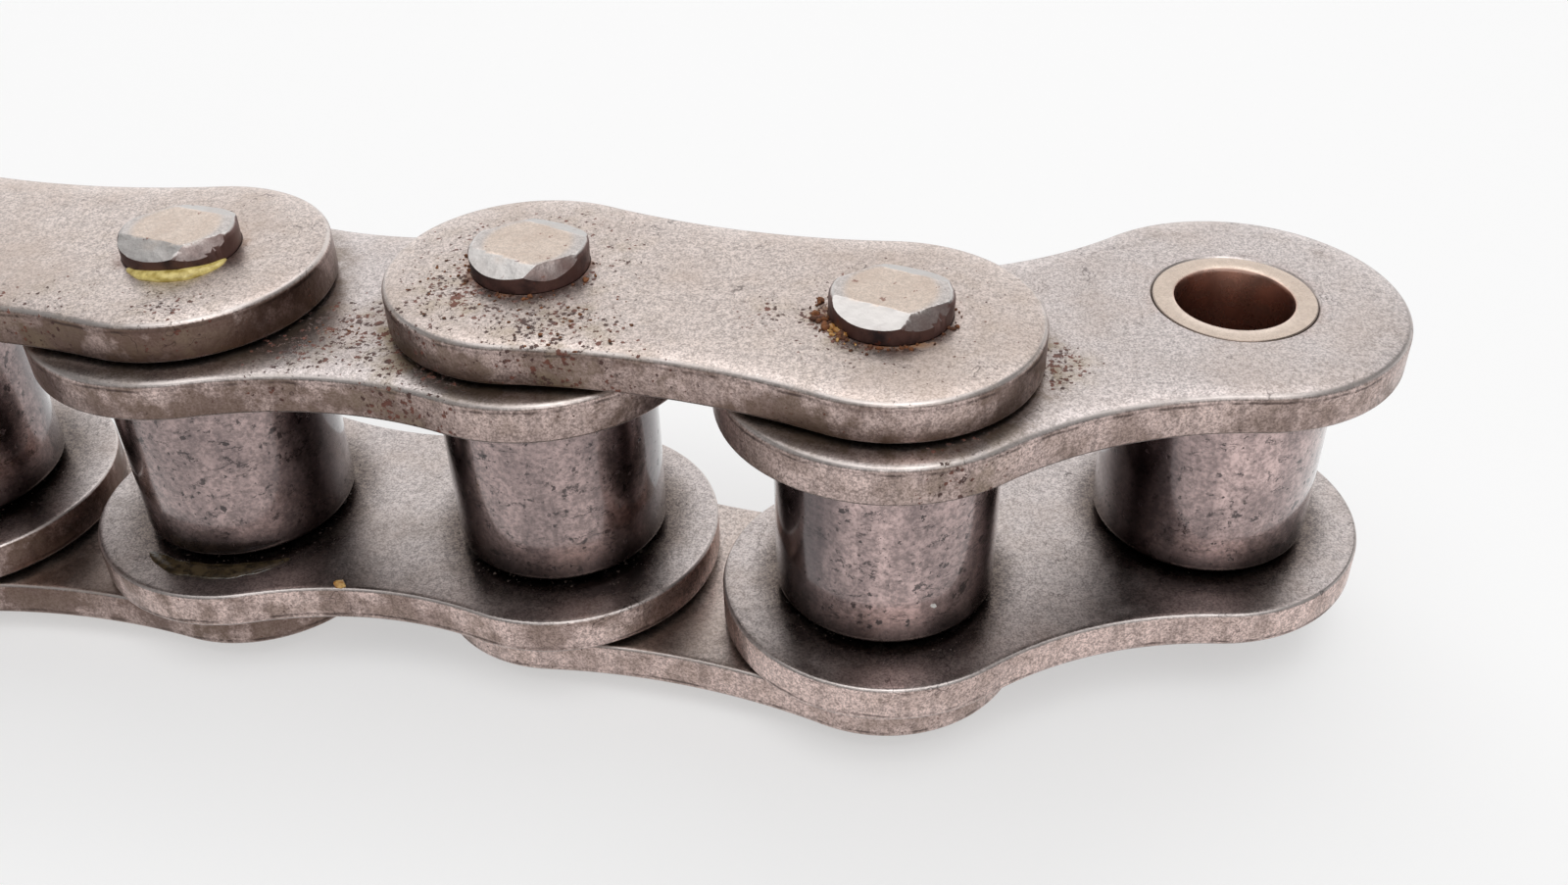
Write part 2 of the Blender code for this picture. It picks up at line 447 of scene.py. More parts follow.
@dataclass(frozen=True)
class PinShape:
    """A riveted pin: plain shank, and two heads peened to broad flats and narrow bevels."""

    radius: float = 3.97 * MM
    length: float = 32.68 * MM
    head_height: float = 1.7 * MM
    head_radius: float = 4.08 * MM
    head_sink: float = 0.04 * MM
    edge_rounding: float = 0.45 * MM
    flats: tuple[PeenedFlat, ...] = (
        PeenedFlat(-90.0, 2.15 * MM, 19.0),
        PeenedFlat(90.0, 2.45 * MM, 19.0),
        PeenedFlat(-30.0, 3.15 * MM, 44.0),
        PeenedFlat(150.0, 3.25 * MM, 44.0),
    )
    flat_rounding: float = 0.12 * MM
    unevenness: float = 0.18 * MM
    net_step: float = 0.34 * MM
    sliver: float = 0.012 * MM
    dent_size: float = 1.10 * MM
    dent_shift: float = 0.10 * MM
    dent_depth: float = 0.035 * MM
    dent_start: float = 0.05
    dent_seed: int = 1795591167
    twist_seed: float = 40.0
    crease: float = 25.0
    steps: int = 96
    edge_steps: int = 5
    flat_steps: int = 3

    def build(self, name: str, place: Matrix, twist: float) -> bpy.types.Object:
        """Turn the pin and peen its heads.

        Args:
            name: Name of the piece.
            place: Matrix from the pin's axes to the chain's.
            twist: Turn of the peened flats from across the link, in radians.

        Returns:
            The pin.
        """
        half = self.length / 2
        shoulder = half - self.head_height + self.head_sink
        bm = bmesh.new()
        profile = [
            (0.0, half),
            (self.head_radius, half),
            (self.head_radius, shoulder),
            (self.radius, shoulder),
            (self.radius, -shoulder),
            (self.head_radius, -shoulder),
            (self.head_radius, -half),
            (0.0, -half),
        ]
        MeshBench.turn(bm, profile, False, self.steps)
        for height in (half, -half):
            rim = MeshBench.ring_edges(bm, self.head_radius, height)
            MeshBench.round_over(bm, rim, self.edge_rounding, self.edge_steps)
        for height in (half, -half):
            for flat in self.flats:
                self.peen(bm, height, twist, flat)
        self.net(bm, shoulder)
        bmesh.ops.remove_doubles(bm, verts=bm.verts, dist=self.sliver)
        self.dent(bm, shoulder, twist)
        return MeshBench.finish(bm, name, place, self.crease)

    def net(self, bm: bmesh.types.BMesh, shoulder: float) -> None:
        """Cut a fine net of edges into the heads, so that dents can follow.

        Args:
            bm: The pin.
            shoulder: Height where the heads begin.
        """
        for across in (Vector((1.0, 0.0, 0.0)), Vector((0.0, 1.0, 0.0))):
            for step in range(1, int(2 * self.head_radius / self.net_step) + 1):
                faces = [
                    face for face in bm.faces
                    if abs(face.calc_center_median().z) > shoulder + WELD
                ]
                edges = {edge for face in faces for edge in face.edges}
                verts = {vert for face in faces for vert in face.verts}
                spot = across * (step * self.net_step - self.head_radius)
                bmesh.ops.bisect_plane(
                    bm, geom=[*verts, *edges, *faces], dist=WELD, plane_co=spot, plane_no=across)

    def dent(self, bm: bmesh.types.BMesh, shoulder: float, twist: float) -> None:
        """Make the hammered heads a little uneven.

        Args:
            bm: The pin.
            shoulder: Height where the heads begin.
            twist: Turn of the flats, which also picks the dents.
        """
        # Unseeded, noise_vector takes its offsets from the clock and the dents differ in each run.
        noise.seed_set(self.dent_seed)
        seed = Vector((0.0, 0.0, self.twist_seed * twist))
        for vert in bm.verts:
            rise = (abs(vert.co.z) - shoulder) / self.head_height
            if rise > self.dent_start:
                spot = Vector((vert.co.x, vert.co.y, 0.0)) / self.radius + seed
                squeeze = 1.0 + noise.noise(spot) * rise * self.unevenness / self.radius
                push = noise.noise_vector(vert.co / self.dent_size + seed)
                vert.co.x = vert.co.x * squeeze + push.x * rise * self.dent_shift
                vert.co.y = vert.co.y * squeeze + push.y * rise * self.dent_shift
                vert.co.z -= math.copysign(abs(push.z) * rise ** 2 * self.dent_depth, vert.co.z)

    def peen(self, bm: bmesh.types.BMesh, height: float, twist: float, flat: PeenedFlat) -> None:
        """Press one sloping flat into a head.

        Args:
            bm: The pin.
            height: Height of the head's end face.
            twist: Turn of the flats on plan, in radians.
            flat: The flat.
        """
        bearing = twist + math.radians(flat.bearing)
        slope = math.radians(flat.slope)
        away = Vector((math.cos(bearing), math.sin(bearing), 0.0))
        up = Vector((0.0, 0.0, math.copysign(1.0, height)))
        normal = up * math.cos(slope) + away * math.sin(slope)
        chord = away * flat.distance + Vector((0.0, 0.0, height))
        geometry = bm.verts[:] + bm.edges[:] + bm.faces[:]
        bmesh.ops.bisect_plane(
            bm, geom=geometry, dist=WELD, plane_co=chord, plane_no=normal, clear_outer=True)
        rim = [edge for edge in bm.edges if edge.is_boundary]
        bmesh.ops.contextual_create(bm, geom=rim)
        bmesh.ops.recalc_face_normals(bm, faces=bm.faces)
        kept = [edge for edge in rim if edge.is_valid]
        MeshBench.round_over(bm, kept, self.flat_rounding, self.flat_steps)


class NodeSketch:
    """Adds nodes to a node tree and wires them together."""

    def __init__(self, tree: bpy.types.NodeTree) -> None:
        """Work on one tree."""
        self.tree = tree

    def add(self, kind: str, **settings: Any) -> bpy.types.Node:
        """Add a node and set its plain properties.

        Args:
            kind: The node's type name.
            **settings: Properties of the node.

        Returns:
            The node.
        """
        node = self.tree.nodes.new(kind)
        for key, value in settings.items():
            setattr(node, key, value)
        return node

    def feed(self, socket: bpy.types.NodeSocket, value: Any) -> None:
        """Wire a socket to another, or set its plain value.

        Args:
            socket: The input socket.
            value: An output socket, a number, a vector or a colour.
        """
        if isinstance(value, bpy.types.NodeSocket):
            self.tree.links.new(value, socket)
        elif isinstance(value, (tuple, Vector)) and socket.type == "RGBA":
            socket.default_value = (*value, 1.0)
        else:
            socket.default_value = value

    def math(
        self, operation: str, first: Any, second: Any = 0.0, clamp: bool = False,
    ) -> bpy.types.NodeSocket:
        """Add a Math node.

        Args:
            operation: What it does.
            first: Its first value.
            second: Its second value.
            clamp: True to hold the result between 0 and 1.

        Returns:
            The result.
        """
        node = self.add("ShaderNodeMath", operation=operation, use_clamp=clamp)
        self.feed(node.inputs[0], first)
        self.feed(node.inputs[1], second)
        return node.outputs[0]

    def times(self, first: Any, second: Any, clamp: bool = False) -> bpy.types.NodeSocket:
        """Multiply two values."""
        return self.math("MULTIPLY", first, second, clamp)

    def plus(self, first: Any, second: Any, clamp: bool = False) -> bpy.types.NodeSocket:
        """Add two values."""
        return self.math("ADD", first, second, clamp)

    def minus(self, first: Any, second: Any) -> bpy.types.NodeSocket:
        """Take the second value from the first."""
        return self.math("SUBTRACT", first, second)

    def larger(self, first: Any, second: Any) -> bpy.types.NodeSocket:
        """Pick the larger of two values."""
        return self.math("MAXIMUM", first, second)

    def size_of(self, value: Any) -> bpy.types.NodeSocket:
        """Drop the sign of a value."""
        return self.math("ABSOLUTE", value)

    def vector(self, operation: str, first: Any, second: Any) -> bpy.types.Node:
        """Add a Vector Math node.

        Args:
            operation: What it does.
            first: Its first vector.
            second: Its second vector.

        Returns:
            The node.
        """
        node = self.add("ShaderNodeVectorMath", operation=operation)
        self.feed(node.inputs[0], first)
        self.feed(node.inputs[1], second)
        return node

    def stretched(self, vector: Any, factors: Triple) -> bpy.types.NodeSocket:
        """Multiply a vector by a factor along each axis."""
        return self.vector("MULTIPLY", vector, factors).outputs[0]

    def apart(self, first: Any, second: Any) -> bpy.types.NodeSocket:
        """Distance between two points."""
        return self.vector("DISTANCE", first, second).outputs["Value"]

    def split(self, vector: Any) -> bpy.types.NodeOutputs:
        """Split a vector into its parts.

        Args:
            vector: The vector.

        Returns:
            The parts, named X, Y and Z.
        """
        node = self.add("ShaderNodeSeparateXYZ")
        self.feed(node.inputs[0], vector)
        return node.outputs

    def smooth(
        self, value: Any, low: Any, high: Any, start: Any = 0.0, end: Any = 1.0,
    ) -> bpy.types.NodeSocket:
        """Ease a value from start to end as it goes from low to high.

        Args:
            value: The value that drives the change.
            low: Where the change starts.
            high: Where it ends.
            start: Result at and below low.
            end: Result at and above high.

        Returns:
            The eased value.
        """
        node = self.add("ShaderNodeMapRange", interpolation_type="SMOOTHSTEP")
        for socket, item in zip(node.inputs, (value, low, high, start, end)):
            self.feed(socket, item)
        return node.outputs[0]

    def mix(self, factor: Any, first: Any, second: Any) -> bpy.types.NodeSocket:
        """Mix two colours.

        Args:
            factor: Share of the second colour.
            first: The first colour.
            second: The second colour.

        Returns:
            The mixed colour.
        """
        node = self.add("ShaderNodeMix", data_type="RGBA", blend_type="MIX")
        for socket, item in zip(COLOUR_MIX_INPUTS, (factor, first, second)):
            self.feed(node.inputs[socket], item)
        return node.outputs[COLOUR_MIX_RESULT]

    def noise(
        self, vector: Any, scale: Any, detail: float = 3.0, roughness: float = 0.55,
    ) -> bpy.types.NodeSocket:
        """Add a noise texture.

        Args:
            vector: Place of each spot.
            scale: How fine the noise is.
            detail: Number of finer layers.
            roughness: Strength of the finer layers.

        Returns:
            The noise, about 0 to 1.
        """
        node = self.add("ShaderNodeTexNoise")
        self.feed(node.inputs["Vector"], vector)
        self.feed(node.inputs["Scale"], scale)
        self.feed(node.inputs["Detail"], detail)
        self.feed(node.inputs["Roughness"], roughness)
        return node.outputs["Fac"]

    def group(self, tree: bpy.types.NodeTree, **values: Any) -> bpy.types.NodeOutputs:
        """Place a node group.

        Args:
            tree: The group.
            **values: What its inputs get, by name.

        Returns:
            The group's outputs.
        """
        node = self.add("ShaderNodeGroup")
        node.node_tree = tree
        for key, value in values.items():
            self.feed(node.inputs[key], value)
        return node.outputs


class SharedEffects:
    """Shader node groups that more than one finish uses, each built once."""

    def __init__(self) -> None:
        """Build every group."""
        self.grain = self.build_grain()
        self.mottle = self.build_mottle()
        self.specks = self.build_specks()
        self.scratches = self.build_scratches()
        self.pin_rings = self.build_pin_rings()
        self.facing = self.build_facing()
        self.zone = self.build_zone()
        self.crust = self.build_crust()

    @staticmethod
    def open_group(
        name: str, inputs: dict[str, str], outputs: tuple[str, ...],
    ) -> tuple[NodeSketch, bpy.types.NodeOutputs, bpy.types.NodeInputs]:
        """Start a node group with named sockets.

        Args:
            name: Name of the group.
            inputs: Socket type of each input by its name.
            outputs: Names of the value outputs.

        Returns:
            A sketch of the group, what it is given and what it puts out.
        """
        tree = bpy.data.node_groups.new(name, "ShaderNodeTree")
        for label, kind in inputs.items():
            tree.interface.new_socket(label, in_out="INPUT", socket_type=f"NodeSocket{kind}")
        for label in outputs:
            tree.interface.new_socket(label, in_out="OUTPUT", socket_type="NodeSocketFloat")
        sketch = NodeSketch(tree)
        return sketch, sketch.add("NodeGroupInput").outputs, sketch.add("NodeGroupOutput").inputs

    def build_grain(self) -> bpy.types.NodeTree:
        """Fine sparkle of a tumbled steel face, with a coarser peened dapple under it.

        Returns:
            The group.
        """
        sketch, given, out = self.open_group(
            "peened_grain", {"Vector": "Vector", "Scale": "Float"}, ("Sparkle", "Height"))
        fine = sketch.noise(given["Vector"], given["Scale"], detail=2.0, roughness=0.7)
        coarse = sketch.noise(given["Vector"], sketch.times(given["Scale"], 0.42), detail=2.0)
        both = sketch.plus(sketch.times(fine, 0.65), sketch.times(coarse, 0.35))
        sketch.feed(out["Sparkle"], sketch.smooth(both, 0.36, 0.64))
        sketch.feed(out["Height"], both)
        return sketch.tree

    def build_mottle(self) -> bpy.types.NodeTree:
        """Soft blotches of one scale.

        Returns:
            The group.
        """
        inputs = {"Vector": "Vector", "Scale": "Float", "Low": "Float", "High": "Float"}
        sketch, given, out = self.open_group("soft_mottle", inputs, ("Mask",))
        value = sketch.noise(given["Vector"], given["Scale"], detail=5.0, roughness=0.6)
        sketch.feed(out["Mask"], sketch.smooth(value, given["Low"], given["High"]))
        return sketch.tree

    def build_specks(self) -> bpy.types.NodeTree:
        """Ragged specks of many sizes; Amount thins them out or crowds them.

        Returns:
            The group.
        """
        sketch, given, out = self.open_group(
            "dirt_specks", {"Vector": "Vector", "Scale": "Float", "Amount": "Float"}, ("Mask",))
        ragged = sketch.add("ShaderNodeTexNoise")
        sketch.feed(ragged.inputs["Vector"], given["Vector"])
        sketch.feed(ragged.inputs["Scale"], sketch.times(given["Scale"], 3.0))
        centred = sketch.vector("SUBTRACT", ragged.outputs["Color"], (0.5, 0.5, 0.5)).outputs[0]
        shift = sketch.vector("SCALE", centred, (0.0, 0.0, 0.0))
        sketch.feed(shift.inputs["Scale"], sketch.math("DIVIDE", 0.9, given["Scale"]))
        cells = sketch.add("ShaderNodeTexVoronoi")
        shifted = sketch.vector("ADD", given["Vector"], shift.outputs[0]).outputs[0]
        sketch.feed(cells.inputs["Vector"], shifted)
        sketch.feed(cells.inputs["Scale"], given["Scale"])
        chance = sketch.add("ShaderNodeSeparateColor")
        sketch.feed(chance.inputs[0], cells.outputs["Color"])
        size = sketch.times(sketch.math("POWER", chance.outputs[0], 5.0), given["Amount"])
        inside = sketch.minus(size, cells.outputs["Distance"])
        sketch.feed(out["Mask"], sketch.smooth(inside, -0.03, 0.06))
        return sketch.tree

    def build_scratches(self) -> bpy.types.NodeTree:
        """Thin broken hairlines that wander across a face.

        Returns:
            The group.
        """
        sketch, given, out = self.open_group(
            "hairlines", {"Vector": "Vector", "Scale": "Float", "Width": "Float"}, ("Mask",))
        wander = sketch.noise(given["Vector"], given["Scale"], detail=4.0, roughness=0.65)
        off_line = sketch.size_of(sketch.minus(wander, 0.5))
        line = sketch.smooth(off_line, 0.0, given["Width"], 1.0, 0.0)
        broken = sketch.noise(given["Vector"], sketch.times(given["Scale"], 1.7), detail=2.0)
        sketch.feed(out["Mask"], sketch.times(line, sketch.smooth(broken, 0.53, 0.62)))
        return sketch.tree

    def build_pin_rings(self) -> bpy.types.NodeTree:
        """Distance on plan from a spot to each of a link's two pin axes, and to the nearer one.

        Returns:
            The group.
        """
        sketch, given, out = self.open_group(
            "pin_rings", {"Vector": "Vector", "Right": "Vector", "Left": "Vector"},
            ("Right", "Left", "Nearer"))
        flat = sketch.stretched(given["Vector"], ON_PLAN)
        right = sketch.apart(flat, given["Right"])
        left = sketch.apart(flat, given["Left"])
        sketch.feed(out["Right"], right)
        sketch.feed(out["Left"], left)
        sketch.feed(out["Nearer"], sketch.math("MINIMUM", right, left))
        return sketch.tree

    def build_facing(self) -> bpy.types.NodeTree:
        """Tells a plate's faces, worn rims and sheared sides apart, with the grimy line under a rim.

        Returns:
            The group.
        """
        sketch, given, out = self.open_group(
            "sheared_side",
            {"Normal": "Vector", "Vector": "Vector", "Level": "Float", "Outward": "Float"},
            ("Side", "Rim", "Line", "Inward", "Outward", "Hem"))
        rise = sketch.split(given["Normal"])["Z"]
        upright = sketch.size_of(rise)
        side = sketch.smooth(upright, 0.20, 0.65, 1.0, 0.0)
        sloping = sketch.smooth(upright, 0.88, 0.985, 1.0, 0.0)
        below = sketch.minus(given["Level"], sketch.split(given["Vector"])["Z"])
        depth = sketch.times(below, given["Outward"])
        wave = sketch.noise(given["Vector"], 240.0, detail=3.0)
        middle = sketch.plus(0.45 * MM, sketch.times(wave, 0.55 * MM))
        off_line = sketch.size_of(sketch.minus(depth, middle))
        line = sketch.smooth(off_line, 0.03 * MM, 0.16 * MM, 1.0, 0.0)
        outward = sketch.times(rise, given["Outward"])
        sketch.feed(out["Side"], side)
        sketch.feed(out["Rim"], sketch.times(sloping, sketch.smooth(upright, 0.35, 0.7)))
        sketch.feed(out["Line"], sketch.times(line, sketch.smooth(upright, 0.5, 0.8, 1.0, 0.0)))
        sketch.feed(out["Inward"], sketch.smooth(outward, -0.9, -0.6, 1.0, 0.0))
        sketch.feed(out["Outward"], sketch.smooth(outward, 0.6, 0.9))
        sketch.feed(out["Hem"], sketch.times(side, sketch.smooth(depth, 1.1 * MM, 2.9 * MM)))
        return sketch.tree

    def build_zone(self) -> bpy.types.NodeTree:
        """A soft round patch on plan.

        Returns:
            The group.
        """
        sketch, given, out = self.open_group(
            "dirt_zone", {"Vector": "Vector", "Centre": "Vector", "Reach": "Float"}, ("Mask",))
        away = sketch.apart(sketch.stretched(given["Vector"], ON_PLAN), given["Centre"])
        share = sketch.math("DIVIDE", away, given["Reach"])
        sketch.feed(out["Mask"], sketch.smooth(share, 0.25, 1.0, 1.0, 0.0))
        return sketch.tree

    def build_crust(self) -> bpy.types.NodeTree:
        """Ragged crusts that spread as Amount grows.

        Returns:
            The group.
        """
        sketch, given, out = self.open_group(
            "ragged_crust", {"Vector": "Vector", "Scale": "Float", "Amount": "Float"}, ("Mask",))
        rough = sketch.noise(given["Vector"], given["Scale"], detail=6.0, roughness=0.72)
        raised = sketch.plus(rough, sketch.times(given["Amount"], 0.13))
        sketch.feed(out["Mask"], sketch.smooth(raised, 0.685, 0.74))
        return sketch.tree


@dataclass(frozen=True)
class Ease:
    """An eased change: where its driver starts and ends, and what it gives there."""

    low: float
    high: float
    start: float = 0.0
    end: float = 1.0

    def of(self, sketch: NodeSketch, value: Any) -> bpy.types.NodeSocket:
        """Ease a value."""
        return sketch.smooth(value, self.low, self.high, self.start, self.end)


@dataclass(frozen=True)
class Relief:
    """A raised pattern: how strongly it shows and its real height in metres."""

    strength: float
    height: float

    def over(self, sketch: NodeSketch, pattern: Any, under: Any = None) -> bpy.types.NodeSocket:
        """Raise a pattern.

        Args:
            sketch: The material's sketch.
            pattern: The pattern, from 0 to 1.
            under: Normal of a relief to build on.

        Returns:
            The bumped normal.
        """
        node = sketch.add("ShaderNodeBump")
        sketch.feed(node.inputs["Strength"], self.strength)
        sketch.feed(node.inputs["Distance"], self.height)
        sketch.feed(node.inputs["Height"], pattern)
        if under is not None:
            sketch.feed(node.inputs["Normal"], under)
        return node.outputs["Normal"]


@dataclass(frozen=True)
class Mottle:
    """A layer of soft blotches: how fine they are, where they begin and where they are full."""

    scale: float
    low: float
    high: float

    def mask(self, sketch: NodeSketch, effects: SharedEffects, here: Any) -> bpy.types.NodeSocket:
        """Lay the blotches on a surface.

        Args:
            sketch: The material's sketch.
            effects: The shared effects.
            here: Place of each spot.

        Returns:
            The blotches' strength.
        """
        laid = sketch.group(
            effects.mottle, Vector=here, Scale=self.scale, Low=self.low, High=self.high)
        return laid["Mask"]


@dataclass(frozen=True)
class DirtZone:
    """A dirty patch of a face: its middle on plan and reach in millimetres, and how dirty it is."""

    x: float
    y: float
    reach: float
    amount: float

    def mask(self, sketch: NodeSketch, effects: SharedEffects, here: Any) -> bpy.types.NodeSocket:
        """Lay the patch on a surface.

        Args:
            sketch: The material's sketch.
            effects: The shared effects.
            here: Place of each spot.

        Returns:
            The patch's strength.
        """
        centre = Vector((self.x * MM, self.y * MM, 0.0))
        laid = sketch.group(effects.zone, Vector=here, Centre=centre, Reach=self.reach * MM)
        return sketch.times(laid["Mask"], self.amount)


@dataclass(frozen=True)
class PlateWear:
    """How dirty and rusty one link's plates are, how much shade is painted on them, and how light its
    rollers.
    """

    stain: float = 0.35
    rust_right: float = 0.25
    rust_left: float = 0.25
    specks: float = 0.3
    collar: float = 0.55
    side_stain: float = 0.6
    # Oil round the roller feet on the inner faces, which is also painted shade there.
    oil: float = 0.85
    oil_and_shade_reach: float = 10.7
    hem: float = 0.25
    # Dirt on the lower plates' sheared sides, which is also painted shade there.
    lower_soil_and_shade: float = 0.5
    side_dull: float = 0.0
    roller_tone: float = 1.0
    zones: tuple[DirtZone, ...] = ()
    grease: DirtZone | None = None


@dataclass(frozen=True)
class SteelPalette:
    """Colours of the chain's used steel, as linear values."""

    inner_plate: Colour = (0.545, 0.488, 0.474)
    outer_plate: Colour = (0.562, 0.485, 0.452)
    stain: Colour = (0.42, 0.325, 0.27)
    sheared: Colour = (0.58, 0.455, 0.42)
    side_stain: Colour = (0.105, 0.062, 0.047)
    worn_rim: Colour = (0.60, 0.545, 0.52)
    # Oil on the plates' inner faces, also painted shade at the roller feet.
    oil: Colour = (0.138, 0.104, 0.080)
    grime: Colour = (0.028, 0.017, 0.018)
    # Swept dirt, also painted shade beside the outer plates' ends.
    swept_dirt_and_shade: Colour = (0.150, 0.105, 0.070)
    rust: Colour = (0.165, 0.050, 0.030)
    dark_rust: Colour = (0.060, 0.022, 0.017)
    bright_rust: Colour = (0.36, 0.17, 0.06)
    olive: Colour = (0.33, 0.265, 0.175)
    grease: Colour = (0.64, 0.53, 0.27)
    roller: Colour = (0.485, 0.358, 0.340)
    # Dark tarnish, and the oil and painted shade on the rollers.
    roller_dark: Colour = (0.040, 0.026, 0.031)
    bush_face: Colour = (0.62, 0.51, 0.43)
    bush_bore: Colour = (0.52, 0.345, 0.285)
    pin_face: Colour = (0.60, 0.50, 0.43)
    pin_rim: Colour = (0.52, 0.475, 0.455)
    pin_flat: Colour = (0.485, 0.462, 0.448)
    pin_side: Colour = (0.125, 0.064, 0.054)


class FinishBench:
    """Small steps shared by the finishes."""

    @staticmethod
    def start(
        name: str,
    ) -> tuple[bpy.types.Material, NodeSketch, bpy.types.NodeInputs, bpy.types.NodeOutputs]:
        """Start a material.

        Args:
            name: Name of the material.

        Returns:
            The material, a sketch of its tree, its shader's inputs and its texture coordinates.
        """
        material = bpy.data.materials.new(name)
        material.use_nodes = True
        sketch = NodeSketch(material.node_tree)
        shader = material.node_tree.nodes["Principled BSDF"]
        return material, sketch, shader.inputs, sketch.add("ShaderNodeTexCoord").outputs

    @staticmethod
    def shade(colour: Colour, factor: float) -> Colour:
        """The colour made lighter or darker by a factor."""
        red, green, blue = (min(factor * part, 1.0) for part in colour)
        return red, green, blue

    @staticmethod
    def dapple(
        sketch: NodeSketch, sparkle: Any, colour: Colour, contrast: tuple[float, float],
    ) -> bpy.types.NodeSocket:
        """Mix a dark and a light shade of one colour by its sparkle.

        Args:
            sketch: The material's sketch.
            sparkle: Share of the light shade.
            colour: The colour.
            contrast: Factors of the dark and the light shade.

        Returns:
            The dappled colour.
        """
        dark, light = (FinishBench.shade(colour, factor) for factor in contrast)
        return sketch.mix(sparkle, dark, light)

    @staticmethod
    def looked_at(sketch: NodeSketch) -> bpy.types.NodeSocket:
        """Tell what the eye sees apart from what only lights the chain.

        Args:
            sketch: The material's sketch.

        Returns:
            One for looks, straight, mirrored or through glass, and zero for lighting.
        """
        path = sketch.add("ShaderNodeLightPath").outputs
        mirrored = sketch.larger(path["Is Glossy Ray"], path["Is Transmission Ray"])
        return sketch.larger(path["Is Camera Ray"], mirrored)


@dataclass(frozen=True)
class PlateView:
    """What a plate's finish knows of every spot of the plate."""

    sketch: NodeSketch
    here: bpy.types.NodeSocket
    grain: bpy.types.NodeOutputs
    blotch: bpy.types.NodeSocket
    cloud: bpy.types.NodeSocket
    faces: bpy.types.NodeOutputs
    rings: bpy.types.NodeOutputs


@dataclass(frozen=True)
class PlateSteel:
    """Tumbled plate steel: sparkle, stains, rust specks, dirty collars and sheared sides, with painted
    shade round the roller feet, beside the outer plates' ends and on the lower plates' faces, and
    painted light on the lower plates' sides.
    """

    palette: SteelPalette
    effects: SharedEffects
    mid_height: float
    grain_scale: float = 6400.0
    face_contrast: tuple[float, float] = (0.60, 1.25)
    side_contrast: tuple[float, float] = (0.52, 1.34)
    blotches: Mottle = Mottle(120.0, 0.42, 0.72)
    clouds: Mottle = Mottle(420.0, 0.40, 0.72)
    streaks: Mottle = Mottle(210.0, 0.44, 0.62)
    striations: Mottle = Mottle(1500.0, 0.46, 0.70)
    striation_stretch: Triple = (1.0, 1.0, 0.12)
    striation_depth: float = 0.36
    striation_shade: float = 0.26
    rim_wear: Ease = Ease(0.0, 1.0, 0.85, 0.35)
    # Painted shade on the lower plates' faces and painted light on their sheared sides.
    lower_face_painted_shade: float = 0.92
    lower_side_painted_light: float = 1.22
    lower_hem: float = 0.4
    rust_start: float = 5.0 * MM
    rust_reach: float = 12.0 * MM
    speck_share: float = 0.3
    heaping: float = 0.6
    caking: Ease = Ease(0.0, 1.0, 0.8, 0.55)
    side_dirt: float = 0.12
    small_specks: tuple[float, float] = (3300.0, 1.05)
    large_specks: tuple[float, float] = (1350.0, 0.50)
    crust_scale: float = 2300.0
    pin_collar: float = 4.15 * MM
    bush_collar: float = 5.85 * MM
    collar_width: float = 0.9 * MM
    collar_least: float = 0.15
    band_rise: tuple[float, float] = (8.5 * MM, 9.9 * MM)
    band_fall: Ease = Ease(10.2 * MM, 12.5 * MM, 1.0, 0.0)
    band_gain: float = 2.4
    band_most: float = 0.92
    band_patches: Ease = Ease(0.0, 0.6, 0.45, 1.0)
    haze: float = 0.50
    soot_scale: float = 700.0
    soot_tint: Ease = Ease(0.42, 0.60)
    speck_cover: float = 0.90
    oil_and_shade_start: float = 8.0 * MM
    line_patches: Ease = Ease(0.10, 0.60, 0.20, 0.65)
    hairlines: tuple[float, float] = (130.0, 0.006)
    hairline_cover: float = 0.6
    grease_patches: Ease = Ease(0.0, 0.8, 1.0, 0.55)
    grease_dulling: float = 0.8
    metal: Ease = Ease(0.1, 0.9, 1.0, 0.2)
    roughness: Ease = Ease(0.0, 1.0, 0.30, 0.42)
    side_roughness: float = 0.06
    worn_roughness: float = 0.10
    oil_gloss: float = 0.08
    dirt_roughness: float = 0.35
    grain_relief: Relief = Relief(0.5, 0.03 * MM)
    torn_scale: float = 1300.0
    torn_relief: Relief = Relief(0.6, 0.10 * MM)
    speck_relief: Relief = Relief(0.6, 0.05 * MM)

    def mix(
        self, link: LinkPlace, side: Side, shape: PlateShape, wear: PlateWear,
    ) -> bpy.types.Material:
        """Mix the finish of one plate.

        Args:
            link: The link that the plate belongs to.
            side: Which plate.
            shape: The plate's shape.
            wear: How worn it is.

        Returns:
            The material.
        """
        material, sketch, shader, spot = FinishBench.start(f"{link.name}_{side.value}_plate_steel")
        view = self.survey(sketch, spot, link, side, shape)
        flank = view.faces["Side"]
        worn = sketch.times(view.faces["Rim"], self.rim_wear.of(sketch, view.cloud))
        crowd = self.crowd(view, side, wear)
        colour = self.bare(view, link, side, worn, wear)
        colour = self.soil(view, colour, side, crowd, wear)
        caked = sketch.times(crowd, self.caking.of(sketch, flank))
        crowd = sketch.plus(crowd, sketch.times(flank, self.side_dirt))
        speck = self.specks(view, crowd, caked)
        collar = self.collar(view, link, wear)
        # Swept dirt, and painted shade beside the end of the overlapping outer plate.
        if link.kind is LinkKind.INNER:
            colour = sketch.mix(self.swept_dirt_and_shade_band(view, wear), colour, self.palette.swept_dirt_and_shade)
        colour = self.rust(view, colour, crowd, collar, speck)
        # Oil round the roller feet on the inner faces, which is also painted shade between the plates.
        oil = sketch.smooth(
            view.rings["Nearer"], self.oil_and_shade_start, wear.oil_and_shade_reach * MM, wear.oil, 0.0)
        oil = sketch.times(oil, view.faces["Inward"])
        colour = self.grime(view, colour, oil)
        dirt = sketch.larger(speck, collar)
        if wear.grease is not None and side is Side.UPPER:
            smear = wear.grease.mask(sketch, self.effects, view.here)
            smear = sketch.times(smear, self.grease_patches.of(sketch, view.cloud))
            colour = sketch.mix(smear, colour, self.palette.grease)
            dirt = sketch.larger(dirt, sketch.times(smear, self.grease_dulling))
        sketch.feed(shader["Base Color"], colour)
        self.polish(view, shader, dirt, worn, oil)
        self.emboss(view, shader, speck)
        return material

